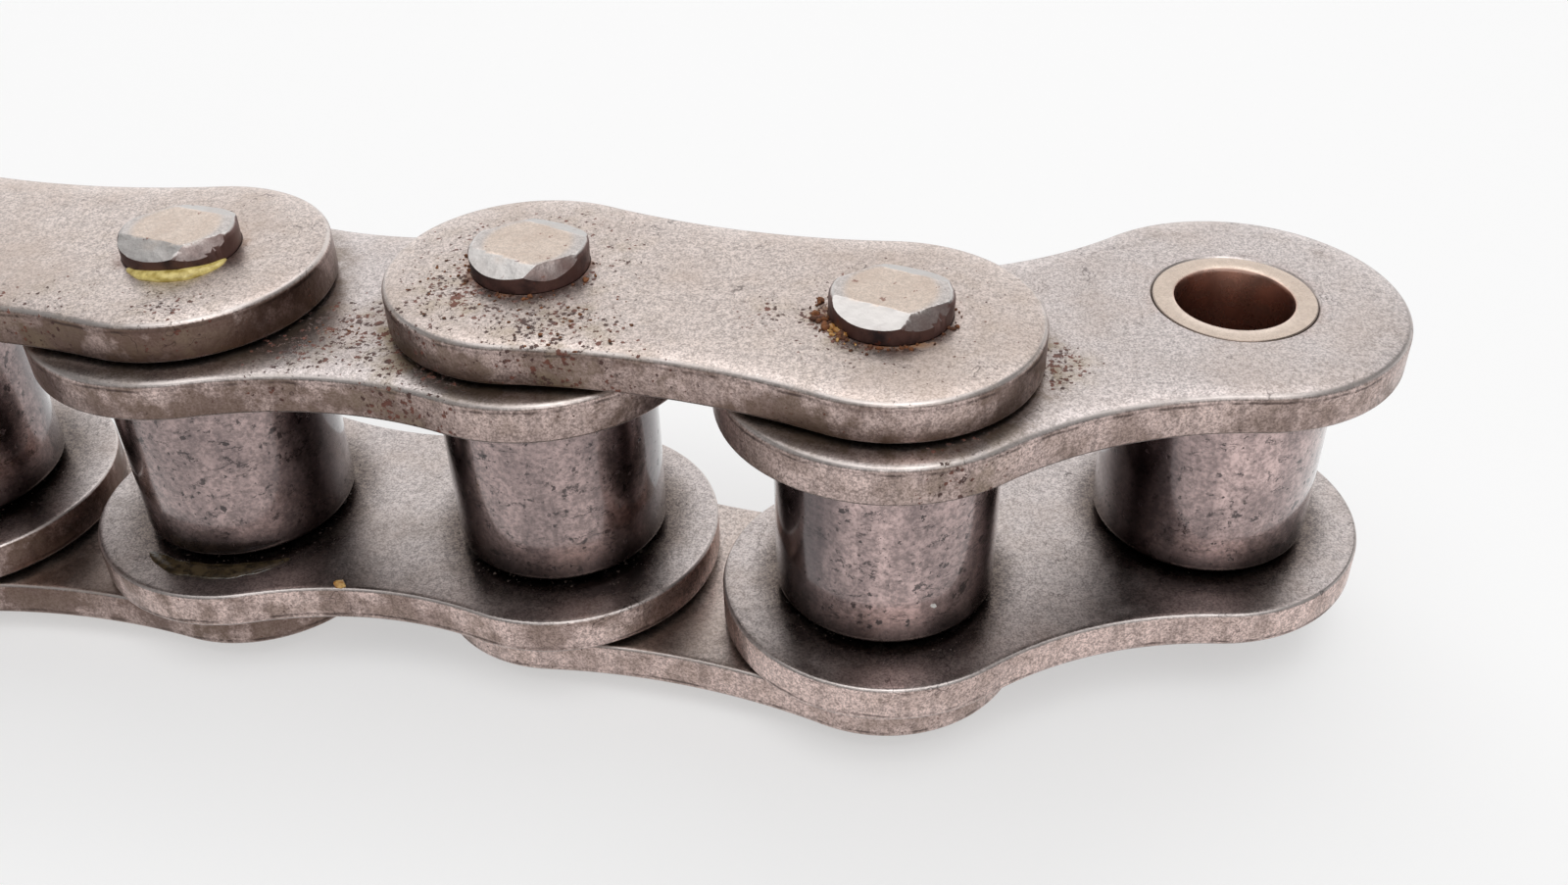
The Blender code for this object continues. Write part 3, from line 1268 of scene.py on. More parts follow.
    def survey(
        self, sketch: NodeSketch, spot: bpy.types.NodeOutputs, link: LinkPlace, side: Side,
        shape: PlateShape,
    ) -> PlateView:
        """Look at every spot of a plate.

        Args:
            sketch: The material's sketch.
            spot: The texture coordinates.
            link: The link that the plate belongs to.
            side: Which plate.
            shape: The plate's shape.

        Returns:
            The grain, mottles, facing and pin distances of each spot.
        """
        here = spot["Object"]
        level = self.mid_height + side.outward * (shape.inner_face + shape.thickness)
        return PlateView(
            sketch=sketch,
            here=here,
            grain=sketch.group(self.effects.grain, Vector=here, Scale=self.grain_scale),
            blotch=self.blotches.mask(sketch, self.effects, here),
            cloud=self.clouds.mask(sketch, self.effects, here),
            faces=sketch.group(
                self.effects.facing, Normal=spot["Normal"], Vector=here, Level=level,
                Outward=float(side.outward)),
            rings=sketch.group(
                self.effects.pin_rings, Vector=here, Right=link.right, Left=link.left),
        )

    def crowd(self, view: PlateView, side: Side, wear: PlateWear) -> bpy.types.NodeSocket:
        """How thickly dirt lies at each spot of a plate.

        Args:
            view: The plate's spots.
            side: Which plate.
            wear: How worn it is.

        Returns:
            The amount of dirt, about 0 to 1.
        """
        sketch = view.sketch
        total = self.speck_share * wear.specks
        for end, amount in (("Right", wear.rust_right), ("Left", wear.rust_left)):
            near = sketch.smooth(view.rings[end], self.rust_start, self.rust_reach, amount, 0.0)
            total = sketch.plus(total, near)
        for zone in wear.zones if side is Side.UPPER else ():
            total = sketch.plus(total, zone.mask(sketch, self.effects, view.here))
        return total

    def bare(
        self, view: PlateView, link: LinkPlace, side: Side, worn: Any, wear: PlateWear,
    ) -> bpy.types.NodeSocket:
        """Colour of the bare steel: stained faces, worn rims and sheared sides, with painted shade on
        the lower plates' faces and painted light on their sides.

        Args:
            view: The plate's spots.
            link: The link that the plate belongs to.
            side: Which plate.
            worn: How worn the rims are.
            wear: How stained the plate is.

        Returns:
            The colour.
        """
        tone = self.palette
        sketch = view.sketch
        face = tone.inner_plate if link.kind is LinkKind.INNER else tone.outer_plate
        sheared = tone.sheared
        # Painted shade on a lower plate's faces, which lie under the upper plate, and painted light on
        # its sheared sides.
        if side is Side.LOWER:
            face = FinishBench.shade(face, self.lower_face_painted_shade)
            sheared = FinishBench.shade(sheared, self.lower_side_painted_light)
        colour = FinishBench.dapple(sketch, view.grain["Sparkle"], face, self.face_contrast)
        colour = sketch.mix(sketch.times(view.blotch, wear.stain), colour, tone.stain)
        colour = sketch.mix(worn, colour, tone.worn_rim)
        torn = FinishBench.dapple(sketch, view.grain["Sparkle"], sheared, self.side_contrast)
        upright = sketch.stretched(view.here, self.striation_stretch)
        striation = self.striations.mask(sketch, self.effects, upright)
        dark = FinishBench.shade(sheared, self.striation_shade)
        torn = sketch.mix(sketch.times(striation, self.striation_depth), torn, dark)
        return sketch.mix(view.faces["Side"], colour, torn)

    def soil(
        self, view: PlateView, colour: Any, side: Side, crowd: Any, wear: PlateWear,
    ) -> bpy.types.NodeSocket:
        """Smear dirt on the sheared sides, more along their inner hem; on the lower plates the amount
        also paints shade.

        Args:
            view: The plate's spots.
            colour: The colour so far.
            side: Which plate.
            crowd: How thickly dirt lies.
            wear: How dirty the sides are.

        Returns:
            The colour.
        """
        sketch = view.sketch
        hem_depth = wear.hem
        soiling_and_shade = wear.side_stain
        # On the lower plates the amount of dirt also serves as painted shade.
        if side is Side.LOWER:
            hem_depth = self.lower_hem * wear.lower_soil_and_shade * wear.hem
            soiling_and_shade = wear.lower_soil_and_shade * wear.side_stain
        streak = self.streaks.mask(sketch, self.effects, view.here)
        heaped = sketch.plus(sketch.times(crowd, self.heaping), wear.side_dull)
        smeared = sketch.plus(streak, heaped, clamp=True)
        soil = sketch.times(sketch.times(smeared, view.faces["Side"]), soiling_and_shade)
        colour = sketch.mix(soil, colour, self.palette.side_stain)
        patchy = sketch.smooth(view.cloud, 0.0, 0.8, 0.5 * hem_depth, hem_depth)
        return sketch.mix(sketch.times(view.faces["Hem"], patchy), colour, self.palette.side_stain)

    def specks(self, view: PlateView, crowd: Any, caked: Any) -> bpy.types.NodeSocket:
        """Specks and crusts of rust.

        Args:
            view: The plate's spots.
            crowd: How thickly specks lie.
            caked: How far crusts spread.

        Returns:
            The rust's strength.
        """
        sketch = view.sketch
        speck = sketch.group(
            self.effects.crust, Vector=view.here, Scale=self.crust_scale, Amount=caked)["Mask"]
        for scale, share in (self.small_specks, self.large_specks):
            laid = sketch.group(
                self.effects.specks, Vector=view.here, Scale=scale, Amount=sketch.times(crowd, share))
            speck = sketch.larger(speck, laid["Mask"])
        return speck

    def collar(self, view: PlateView, link: LinkPlace, wear: PlateWear) -> bpy.types.NodeSocket:
        """Rust in a collar round the pins or bushes.

        Args:
            view: The plate's spots.
            link: The link that the plate belongs to.
            wear: How rusty the collar is.

        Returns:
            The collar's strength.
        """
        sketch = view.sketch
        start = self.pin_collar if link.kind is LinkKind.OUTER else self.bush_collar
        ring = sketch.smooth(view.rings["Nearer"], start, start + self.collar_width, 1.0, 0.0)
        patchy = sketch.smooth(view.cloud, 0.05, 0.6, self.collar_least * wear.collar, wear.collar)
        return sketch.times(ring, patchy)

    def swept_dirt_and_shade_band(self, view: PlateView, wear: PlateWear) -> bpy.types.NodeSocket:
        """Dirt that the next link's plate pushes into a band round the pins of an inner link, which
        also paints shade beside that plate's end.

        Args:
            view: The plate's spots.
            wear: How dirty the band is.

        Returns:
            The band's strength.
        """
        sketch = view.sketch
        bands: list[bpy.types.NodeSocket] = []
        for end, amount in (("Right", wear.rust_right), ("Left", wear.rust_left)):
            depth = min(self.band_gain * amount, self.band_most)
            rise = sketch.smooth(view.rings[end], *self.band_rise, 0.0, depth)
            bands.append(sketch.times(rise, self.band_fall.of(sketch, view.rings[end])))
        band = sketch.times(sketch.larger(*bands), view.faces["Outward"])
        return sketch.times(band, self.band_patches.of(sketch, view.cloud))

    def rust(
        self, view: PlateView, colour: Any, crowd: Any, collar: Any, speck: Any,
    ) -> bpy.types.NodeSocket:
        """Lay an olive haze, rusty collars and sooty specks.

        Args:
            view: The plate's spots.
            colour: The colour so far.
            crowd: How thickly dirt lies.
            collar: Strength of the collars.
            speck: Strength of the specks.

        Returns:
            The colour.
        """
        tone = self.palette
        sketch = view.sketch
        haze = sketch.times(sketch.times(crowd, view.cloud), self.haze, clamp=True)
        colour = sketch.mix(haze, colour, tone.olive)
        colour = sketch.mix(collar, colour, sketch.mix(view.blotch, tone.rust, tone.bright_rust))
        tint = self.soot_tint.of(sketch, sketch.noise(view.here, self.soot_scale, detail=2.0))
        soot = sketch.mix(tint, tone.dark_rust, tone.rust)
        return sketch.mix(sketch.times(speck, self.speck_cover), colour, soot)

    def grime(self, view: PlateView, colour: Any, oil: Any) -> bpy.types.NodeSocket:
        """Lay oil and painted shade on the inner faces round the rollers, a grimy line under the rims
        and dark hairlines.

        Args:
            view: The plate's spots.
            colour: The colour so far.
            oil: Strength of the oil and painted shade.

        Returns:
            The colour.
        """
        tone = self.palette
        sketch = view.sketch
        # Colour of the oil and the painted shade round the roller feet.
        wet_and_shaded = sketch.mix(view.grain["Sparkle"], tone.grime, tone.oil)
        colour = sketch.mix(oil, colour, wet_and_shaded)
        patchy = self.line_patches.of(sketch, view.cloud)
        colour = sketch.mix(sketch.times(view.faces["Line"], patchy), colour, tone.grime)
        scale, width = self.hairlines
        hairline = sketch.group(self.effects.scratches, Vector=view.here, Scale=scale, Width=width)
        return sketch.mix(sketch.times(hairline["Mask"], self.hairline_cover), colour, tone.grime)

    def polish(
        self, view: PlateView, shader: bpy.types.NodeInputs, dirt: Any, worn: Any, oil: Any,
    ) -> None:
        """Set how metallic and how rough each spot is.

        Args:
            view: The plate's spots.
            shader: The shader's inputs.
            dirt: Strength of the dirt.
            worn: How worn the rims are.
            oil: Strength of the oil and painted shade.
        """
        sketch = view.sketch
        sketch.feed(shader["Metallic"], self.metal.of(sketch, dirt))
        rough = self.roughness.of(sketch, view.cloud)
        rough = sketch.plus(rough, sketch.times(view.faces["Side"], self.side_roughness))
        rough = sketch.plus(rough, sketch.times(worn, self.worn_roughness))
        rough = sketch.minus(rough, sketch.times(oil, self.oil_gloss))
        rough = sketch.plus(rough, sketch.times(dirt, self.dirt_roughness), clamp=True)
        sketch.feed(shader["Roughness"], rough)

    def emboss(self, view: PlateView, shader: bpy.types.NodeInputs, speck: Any) -> None:
        """Raise the grain, the ragged sides and the specks.

        Args:
            view: The plate's spots.
            shader: The shader's inputs.
            speck: Strength of the specks.
        """
        sketch = view.sketch
        grainy = self.grain_relief.over(sketch, view.grain["Height"])
        ragged = sketch.noise(view.here, self.torn_scale, detail=4.0)
        torn = self.torn_relief.over(sketch, sketch.times(view.faces["Side"], ragged), grainy)
        sketch.feed(shader["Normal"], self.speck_relief.over(sketch, speck, torn))


@dataclass(frozen=True)
class RollerSteel:
    """Oily roller steel, streaked and mottled, with oil and painted shade at both ends and on the
    flanks that face along the chain.
    """

    palette: SteelPalette
    effects: SharedEffects
    mid_height: float
    grain_scale: float = 2900.0
    contrast: tuple[float, float] = (0.62, 1.26)
    streaks: Mottle = Mottle(420.0, 0.36, 0.66)
    streak_stretch: Triple = (1.0, 1.0, 0.14)
    blotches: Mottle = Mottle(230.0, 0.46, 0.70)
    clouds: Mottle = Mottle(800.0, 0.50, 0.76)
    patina: Triple = (0.36, 0.26, 0.16)
    speck_scale: float = 1500.0
    speck_amount: float = 0.36
    scuff_stretch: Triple = (1.0, 1.0, 2.6)
    scuff_scale: float = 300.0
    scuff_width: float = 0.022
    crust_scale: float = 900.0
    crust_amount: float = 0.85
    mark_cover: float = 0.85
    # Oil and painted shade near both ends, where the roller meets the plates, and on the flanks that
    # face along the chain.
    end_oil_and_shade: Ease = Ease(3.8 * MM, 7.3 * MM, 0.0, 0.88)
    trickle_stretch: Triple = (1.0, 1.0, 0.3)
    trickle_scale: float = 420.0
    trickle_reach: float = 5.5 * MM
    flank_lean: float = 0.16
    flank_oil_and_shade: Ease = Ease(2.6 * MM, 7.4 * MM, 0.86, 0.0)
    coat_roughness: float = 0.10
    roughness: Ease = Ease(0.0, 1.0, 0.24, 0.36)
    speck_roughness: float = 0.25
    grain_relief: Relief = Relief(0.4, 0.025 * MM)
    pit_relief: Relief = Relief(0.4, -0.04 * MM)

    def mix(self, link: LinkPlace, end: End, lightness: float) -> bpy.types.Material:
        """Mix the finish of one roller.

        Args:
            link: The inner link that carries the roller.
            end: The end where it sits.
            lightness: How light its steel is.

        Returns:
            The material.
        """
        tone = self.palette
        material, sketch, shader, spot = FinishBench.start(f"{link.name}_{end.value}_roller_steel")
        here = spot["Object"]
        grain = sketch.group(self.effects.grain, Vector=here, Scale=self.grain_scale)
        blotch = self.blotches.mask(sketch, self.effects, here)
        speck = sketch.group(
            self.effects.specks, Vector=here, Scale=self.speck_scale, Amount=self.speck_amount)["Mask"]
        dark, light = self.contrast
        colour = FinishBench.dapple(
            sketch, grain["Sparkle"], tone.roller, (dark * lightness, light * lightness))
        # The dark mix holds the tarnish, and the oil with its painted shade.
        stain = sketch.larger(self.tarnish(sketch, here, blotch), self.oil(sketch, here, link, end))
        colour = sketch.mix(stain, colour, tone.roller_dark)
        for mark in (speck, self.scuffs(sketch, here)):
            colour = sketch.mix(sketch.times(mark, self.mark_cover), colour, tone.grime)
        sketch.feed(shader["Base Color"], colour)
        shader["Metallic"].default_value = 1.0
        shader["Coat Weight"].default_value = 1.0
        shader["Coat Roughness"].default_value = self.coat_roughness
        rough = self.roughness.of(sketch, blotch)
        rough = sketch.plus(rough, sketch.times(speck, self.speck_roughness))
        sketch.feed(shader["Roughness"], rough)
        grainy = self.grain_relief.over(sketch, grain["Height"])
        sketch.feed(shader["Normal"], self.pit_relief.over(sketch, speck, grainy))
        return material

    def tarnish(self, sketch: NodeSketch, here: Any, blotch: Any) -> bpy.types.NodeSocket:
        """Streaky, blotchy tarnish.

        Args:
            sketch: The material's sketch.
            here: Place of each spot.
            blotch: Strength of the blotches.

        Returns:
            The tarnish's strength.
        """
        streak = self.streaks.mask(sketch, self.effects, sketch.stretched(here, self.streak_stretch))
        cloud = self.clouds.mask(sketch, self.effects, here)
        of_streak, of_blotch, of_cloud = self.patina
        both = sketch.plus(sketch.times(streak, of_streak), sketch.times(blotch, of_blotch))
        return sketch.plus(both, sketch.times(cloud, of_cloud), clamp=True)

    def scuffs(self, sketch: NodeSketch, here: Any) -> bpy.types.NodeSocket:
        """Dark scuffs round the roller and ragged black marks.

        Args:
            sketch: The material's sketch.
            here: Place of each spot.

        Returns:
            The marks' strength.
        """
        round_about = sketch.stretched(here, self.scuff_stretch)
        scuff = sketch.group(
            self.effects.scratches, Vector=round_about, Scale=self.scuff_scale, Width=self.scuff_width)
        crust = sketch.group(
            self.effects.crust, Vector=here, Scale=self.crust_scale, Amount=self.crust_amount)
        return sketch.larger(scuff["Mask"], crust["Mask"])

    def oil(self, sketch: NodeSketch, here: Any, link: LinkPlace, end: End) -> bpy.types.NodeSocket:
        """Dark oil and painted shade at both ends of the roller, where it meets the plates, and down
        its flanks along the chain, where the rollers shade each other.

        Args:
            sketch: The material's sketch.
            here: Place of each spot.
            link: The inner link that carries the roller.
            end: The end where it sits.

        Returns:
            The strength of the oil and painted shade.
        """
        off_middle = sketch.size_of(sketch.minus(sketch.split(here)["Z"], self.mid_height))
        turned = sketch.add("ShaderNodeMapping", vector_type="TEXTURE")
        sketch.feed(turned.inputs["Vector"], here)
        turned.inputs["Location"].default_value = link.pin(end)
        turned.inputs["Rotation"].default_value = (0.0, 0.0, link.heading)
        own = sketch.split(turned.outputs["Vector"])
        # Painted shade on the flanks that face along the chain, with a ragged edge; it turns with the
        # roller.
        across = sketch.plus(sketch.size_of(own["Y"]), sketch.times(own["X"], self.flank_lean))
        trickle = sketch.stretched(here, self.trickle_stretch)
        waver = sketch.noise(trickle, self.trickle_scale, detail=5.0, roughness=0.6)
        across = sketch.plus(across, sketch.times(sketch.minus(waver, 0.5), self.trickle_reach))
        return sketch.larger(self.end_oil_and_shade.of(sketch, off_middle), self.flank_oil_and_shade.of(sketch, across))


@dataclass(frozen=True)
class BushSteel:
    """Ground bush ends, a little yellowed, with a dark brown bore."""

    palette: SteelPalette
    effects: SharedEffects
    grain_scale: float = 4200.0
    contrast: tuple[float, float] = (0.86, 1.0)
    clouds: Mottle = Mottle(700.0, 0.42, 0.78)
    stain: float = 0.25
    rim: Ease = Ease(5.50 * MM, 5.62 * MM)
    rim_grime: float = 0.55
    bore: Ease = Ease(4.12 * MM, 4.30 * MM, 1.0, 0.0)
    bore_shade: float = 0.6
    roughness: Ease = Ease(0.0, 1.0, 0.26, 0.36)
    grain_relief: Relief = Relief(0.2, 0.015 * MM)

    def mix(self, link: LinkPlace) -> bpy.types.Material:
        """Mix the finish of a link's bushes.

        Args:
            link: The inner link that the bushes belong to.

        Returns:
            The material.
        """
        tone = self.palette
        material, sketch, shader, spot = FinishBench.start(f"{link.name}_bush_steel")
        here = spot["Object"]
        grain = sketch.group(self.effects.grain, Vector=here, Scale=self.grain_scale)
        cloud = self.clouds.mask(sketch, self.effects, here)
        rings = sketch.group(self.effects.pin_rings, Vector=here, Right=link.right, Left=link.left)
        bore = self.bore.of(sketch, rings["Nearer"])
        rim = self.rim.of(sketch, rings["Nearer"])
        face = FinishBench.dapple(sketch, grain["Sparkle"], tone.bush_face, self.contrast)
        face = sketch.mix(sketch.times(cloud, self.stain), face, tone.stain)
        face = sketch.mix(sketch.times(rim, self.rim_grime), face, tone.grime)
        wall = sketch.mix(cloud, tone.bush_bore, FinishBench.shade(tone.bush_bore, self.bore_shade))
        sketch.feed(shader["Base Color"], sketch.mix(bore, face, wall))
        shader["Metallic"].default_value = 1.0
        sketch.feed(shader["Roughness"], self.roughness.of(sketch, cloud))
        sketch.feed(shader["Normal"], self.grain_relief.over(sketch, grain["Height"]))
        return material


@dataclass(frozen=True)
class PinSteel:
    """Peened heads: tan flat tops with a paler rim, bright flats and dark oxide sides."""

    palette: SteelPalette
    effects: SharedEffects
    grain_scale: float = 6400.0
    tan_contrast: tuple[float, float] = (0.80, 1.10)
    rim_contrast: tuple[float, float] = (0.75, 1.12)
    clouds: Mottle = Mottle(420.0, 0.42, 0.70)
    stain: float = 0.45
    speck_scale: float = 1500.0
    speck_amount: float = 0.30
    speck_cover: float = 0.7
    side: Ease = Ease(0.60, 0.90, 1.0, 0.0)
    tilted: Ease = Ease(0.955, 0.985, 1.0, 0.0)
    upward: Ease = Ease(0.80, 0.92)
    rim: Ease = Ease(2.7 * MM, 3.4 * MM)
    flat_patches: Ease = Ease(0.0, 1.0, 1.0, 0.6)
    metal: Ease = Ease(0.0, 1.0, 1.0, 0.6)
    roughness: Ease = Ease(0.0, 1.0, 0.28, 0.40)
    side_roughness: float = 0.15
    hammer_scale: float = 900.0
    hammer_relief: Relief = Relief(0.6, 0.08 * MM)
    grain_relief: Relief = Relief(0.4, 0.025 * MM)

    def mix(self, link: LinkPlace) -> bpy.types.Material:
        """Mix the finish of a link's pins.

        Args:
            link: The outer link that the pins belong to.

        Returns:
            The material.
        """
        tone = self.palette
        material, sketch, shader, spot = FinishBench.start(f"{link.name}_pin_steel")
        here = spot["Object"]
        grain = sketch.group(self.effects.grain, Vector=here, Scale=self.grain_scale)
        cloud = self.clouds.mask(sketch, self.effects, here)
        speck = sketch.group(
            self.effects.specks, Vector=here, Scale=self.speck_scale, Amount=self.speck_amount)["Mask"]
        rings = sketch.group(self.effects.pin_rings, Vector=here, Right=link.right, Left=link.left)
        level = sketch.size_of(sketch.split(spot["Normal"])["Z"])
        side = self.side.of(sketch, level)
        flat = sketch.times(self.tilted.of(sketch, level), self.upward.of(sketch, level))
        tan = FinishBench.dapple(sketch, grain["Sparkle"], tone.pin_face, self.tan_contrast)
        tan = sketch.mix(sketch.times(cloud, self.stain), tan, tone.stain)
        pale = FinishBench.dapple(sketch, grain["Sparkle"], tone.pin_rim, self.rim_contrast)
        face = sketch.mix(self.rim.of(sketch, rings["Nearer"]), tan, pale)
        bright = sketch.times(flat, self.flat_patches.of(sketch, cloud))
        face = sketch.mix(bright, face, tone.pin_flat)
        colour = sketch.mix(side, face, sketch.mix(cloud, tone.pin_side, tone.grime))
        colour = sketch.mix(sketch.times(speck, self.speck_cover), colour, tone.rust)
        sketch.feed(shader["Base Color"], colour)
        sketch.feed(shader["Metallic"], self.metal.of(sketch, side))
        rough = self.roughness.of(sketch, cloud)
        rough = sketch.plus(rough, sketch.times(side, self.side_roughness))
        sketch.feed(shader["Roughness"], rough)
        dents = sketch.noise(here, self.hammer_scale, detail=3.0)
        hammered = self.hammer_relief.over(sketch, dents)
        sketch.feed(shader["Normal"], self.grain_relief.over(sketch, grain["Height"], hammered))
        return material


class FinishShop:
    """The chain's finishes, which share one palette and one set of effects."""

    def __init__(self, layout: ChainLayout) -> None:
        """Set up every finish.

        Args:
            layout: Where the links lie.
        """
        palette = SteelPalette()
        effects = SharedEffects()
        self.plate = PlateSteel(palette, effects, layout.mid_height)
        self.roller = RollerSteel(palette, effects, layout.mid_height)
        self.bush = BushSteel(palette, effects)
        self.pin = PinSteel(palette, effects)


@dataclass
class ChainLink:
    """One dressed link: builds its pieces, rides them on their bodies and reports them."""

    layout: ChainLayout
    place: LinkPlace
    shop: FinishShop
    wear: PlateWear

    def settle(
        self, piece: bpy.types.Object, body: str, node: str, slot: str, finish: bpy.types.Material,
    ) -> None:
        """Give a piece its finish, its body and the node that it stands for.

        Args:
            piece: The piece.
            body: Body that carries it.
            node: CAD node that it replaces.
            slot: Not used.
            finish: Its material.
        """
        piece.data.materials.clear()
        piece.data.materials.append(finish)
        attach(piece, body)
        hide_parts(node)
        LOG.info("%s on %s: %d faces", piece.name, body, len(piece.data.polygons))

    def add_plates(self, shape: PlateShape) -> None:
        """Build and dress both plates of the link.

        Args:
            shape: The plates' shape.
        """
        for side in Side:
            node = f"{self.place.name}_{side.value}_plate"
            piece = shape.build(f"{node}_skin", self.layout.placed(self.place, side))
            finish = self.shop.plate.mix(self.place, side, shape, self.wear)
            self.settle(piece, self.place.name, node, f"{self.place.kind.value}_plate_steel", finish)

    def on_pin(self, end: End) -> Matrix:
        """Find the axes of one pin of the link.

        Args:
            end: The pin's end of the link.

        Returns:
            Matrix from the pin's axes to the chain's.
        """
        spot = self.place.pin(end)
        move = Matrix.Translation((spot.x, spot.y, self.layout.mid_height))
        return move @ Matrix.Rotation(self.place.heading, 4, "Z")


@dataclass
class InnerLink(ChainLink):
    """Two plates pressed on two bushes, each with a free roller."""

    plate: PlateShape = PlateShape(
        height=23.8 * MM, waist_depth=2.1 * MM, hole_radius=5.70 * MM, inner_face=7.94 * MM)
    bush: SleeveShape = SleeveShape(
        outer_radius=5.65 * MM, bore_radius=4.05 * MM, length=22.28 * MM,
        outer_rounding=0.10 * MM, bore_chamfer=0.32 * MM)
    roller: SleeveShape = SleeveShape(
        outer_radius=7.94 * MM, bore_radius=5.80 * MM, length=15.28 * MM,
        outer_rounding=0.75 * MM, bore_chamfer=0.30 * MM)

    def build(self) -> None:
        """Build and dress the whole link."""
        self.add_plates(self.plate)
        bush_finish = self.shop.bush.mix(self.place)
        for end in End:
            bush_node = f"{self.place.name}_{end.value}_bush"
            bush = self.bush.build(f"{bush_node}_skin", self.on_pin(end))
            self.settle(bush, self.place.name, bush_node, "bush_steel", bush_finish)
            roller_node = f"{self.place.name}_{end.value}_roller"
            roller = self.roller.build(f"{roller_node}_skin", self.on_pin(end))
            finish = self.shop.roller.mix(self.place, end, self.wear.roller_tone)
            self.settle(roller, roller_node, roller_node, "roller_steel", finish)


@dataclass
class OuterLink(ChainLink):
    """Two plates riveted on two pins, whose peened flats are twisted by a few degrees."""

    plate: PlateShape = PlateShape(
        height=20.4 * MM, waist_depth=1.3 * MM, hole_radius=4.02 * MM, inner_face=11.44 * MM)
    pin: PinShape = PinShape()
    right_twist: float = -12.0
    left_twist: float = -14.0

    def build(self) -> None:
        """Build and dress the whole link."""
        self.add_plates(self.plate)
        finish = self.shop.pin.mix(self.place)
        for end in End:
            twist = self.right_twist if end is End.RIGHT else self.left_twist
            node = f"{self.place.name}_{end.value}_pin"
            piece = self.pin.build(f"{node}_skin", self.on_pin(end), math.radians(twist))
            self.settle(piece, self.place.name, node, "pin_steel", finish)


@dataclass(frozen=True)
class DirtFinish:
    """Loose dirt in two linear colours, with its roughness and how grainy it is."""

    dark: Colour
    light: Colour
    roughness: float
    graininess: float
    tone_scale: float = 1600.0
    tones: Ease = Ease(0.35, 0.65)
    grain_scale: float = 5000.0
    grain_height: float = 0.04 * MM

    def mix(self, name: str) -> bpy.types.Material:
        """Mix the dirt.

        Args:
            name: Name of the material.

        Returns:
            The material.
        """
        material, sketch, shader, spot = FinishBench.start(name)
        here = spot["Object"]
        blend = self.tones.of(sketch, sketch.noise(here, self.tone_scale, detail=4.0))
        sketch.feed(shader["Base Color"], sketch.mix(blend, self.dark, self.light))
        shader["Roughness"].default_value = self.roughness
        grit = Relief(self.graininess, self.grain_height)
        sketch.feed(shader["Normal"], grit.over(sketch, sketch.noise(here, self.grain_scale)))
        return material


class DirtKind(Enum):
    """The kinds of loose dirt, each with its finish."""

    RUST = DirtFinish((0.075, 0.030, 0.016), (0.23, 0.085, 0.030), 0.85, 0.5)
    AMBER = DirtFinish((0.42, 0.19, 0.045), (0.72, 0.46, 0.16), 0.45, 0.5)
    GREASE = DirtFinish((0.46, 0.34, 0.08), (0.80, 0.66, 0.24), 0.30, 0.12)
    OIL = DirtFinish((0.022, 0.015, 0.008), (0.072, 0.050, 0.025), 0.10, 0.60)
    CHALK = DirtFinish((0.80, 0.78, 0.74), (0.92, 0.90, 0.87), 0.60, 0.5)


@dataclass(frozen=True)
class CrumbPatch:
    """Loose crumbs lying together on one body; sizes in millimetres, bearings in degrees."""

    name: str
    body: str
    kind: DirtKind
    middle: Triple
    reach: tuple[float, float]
    bearings: tuple[float, float]
    count: int
    sizes: tuple[float, float]
    flatness: float = 0.7
    raggedness: float = 0.5
    narrowest: float = 0.6
    lift: float = 0.3
    lump_size: float = 0.7
    crease: float = 50.0

    def build(self) -> bpy.types.Object:
        """Scatter the crumbs.

        Returns:
            One piece with every crumb of the patch.
        """
        dice = random.Random(self.name)
        least, most = self.sizes
        bm = bmesh.new()
        for _ in range(self.count):
            bearing = math.radians(dice.uniform(*self.bearings))
            away = dice.uniform(*self.reach)
            size = least + (most - least) * dice.random() ** 2
            lifted = self.lift * size * self.flatness
            spot = Vector((away * math.cos(bearing), away * math.sin(bearing), lifted))
            spin = Matrix.Rotation(dice.uniform(0.0, math.tau), 4, "Z")
            squash = Matrix.Diagonal((1.0, dice.uniform(self.narrowest, 1.0), self.flatness, 1.0))
            place = Matrix.Translation((spot + Vector(self.middle)) * MM) @ spin @ squash
            made = bmesh.ops.create_icosphere(bm, subdivisions=2, radius=size * MM, matrix=place)
            core = place.translation
            for vert in made["verts"]:
                lump = 1.0 + self.raggedness * noise.noise(vert.co / (self.lump_size * size * MM))
                vert.co = core + (vert.co - core) * lump
        return MeshBench.finish(bm, self.name, Matrix.Identity(4), self.crease)


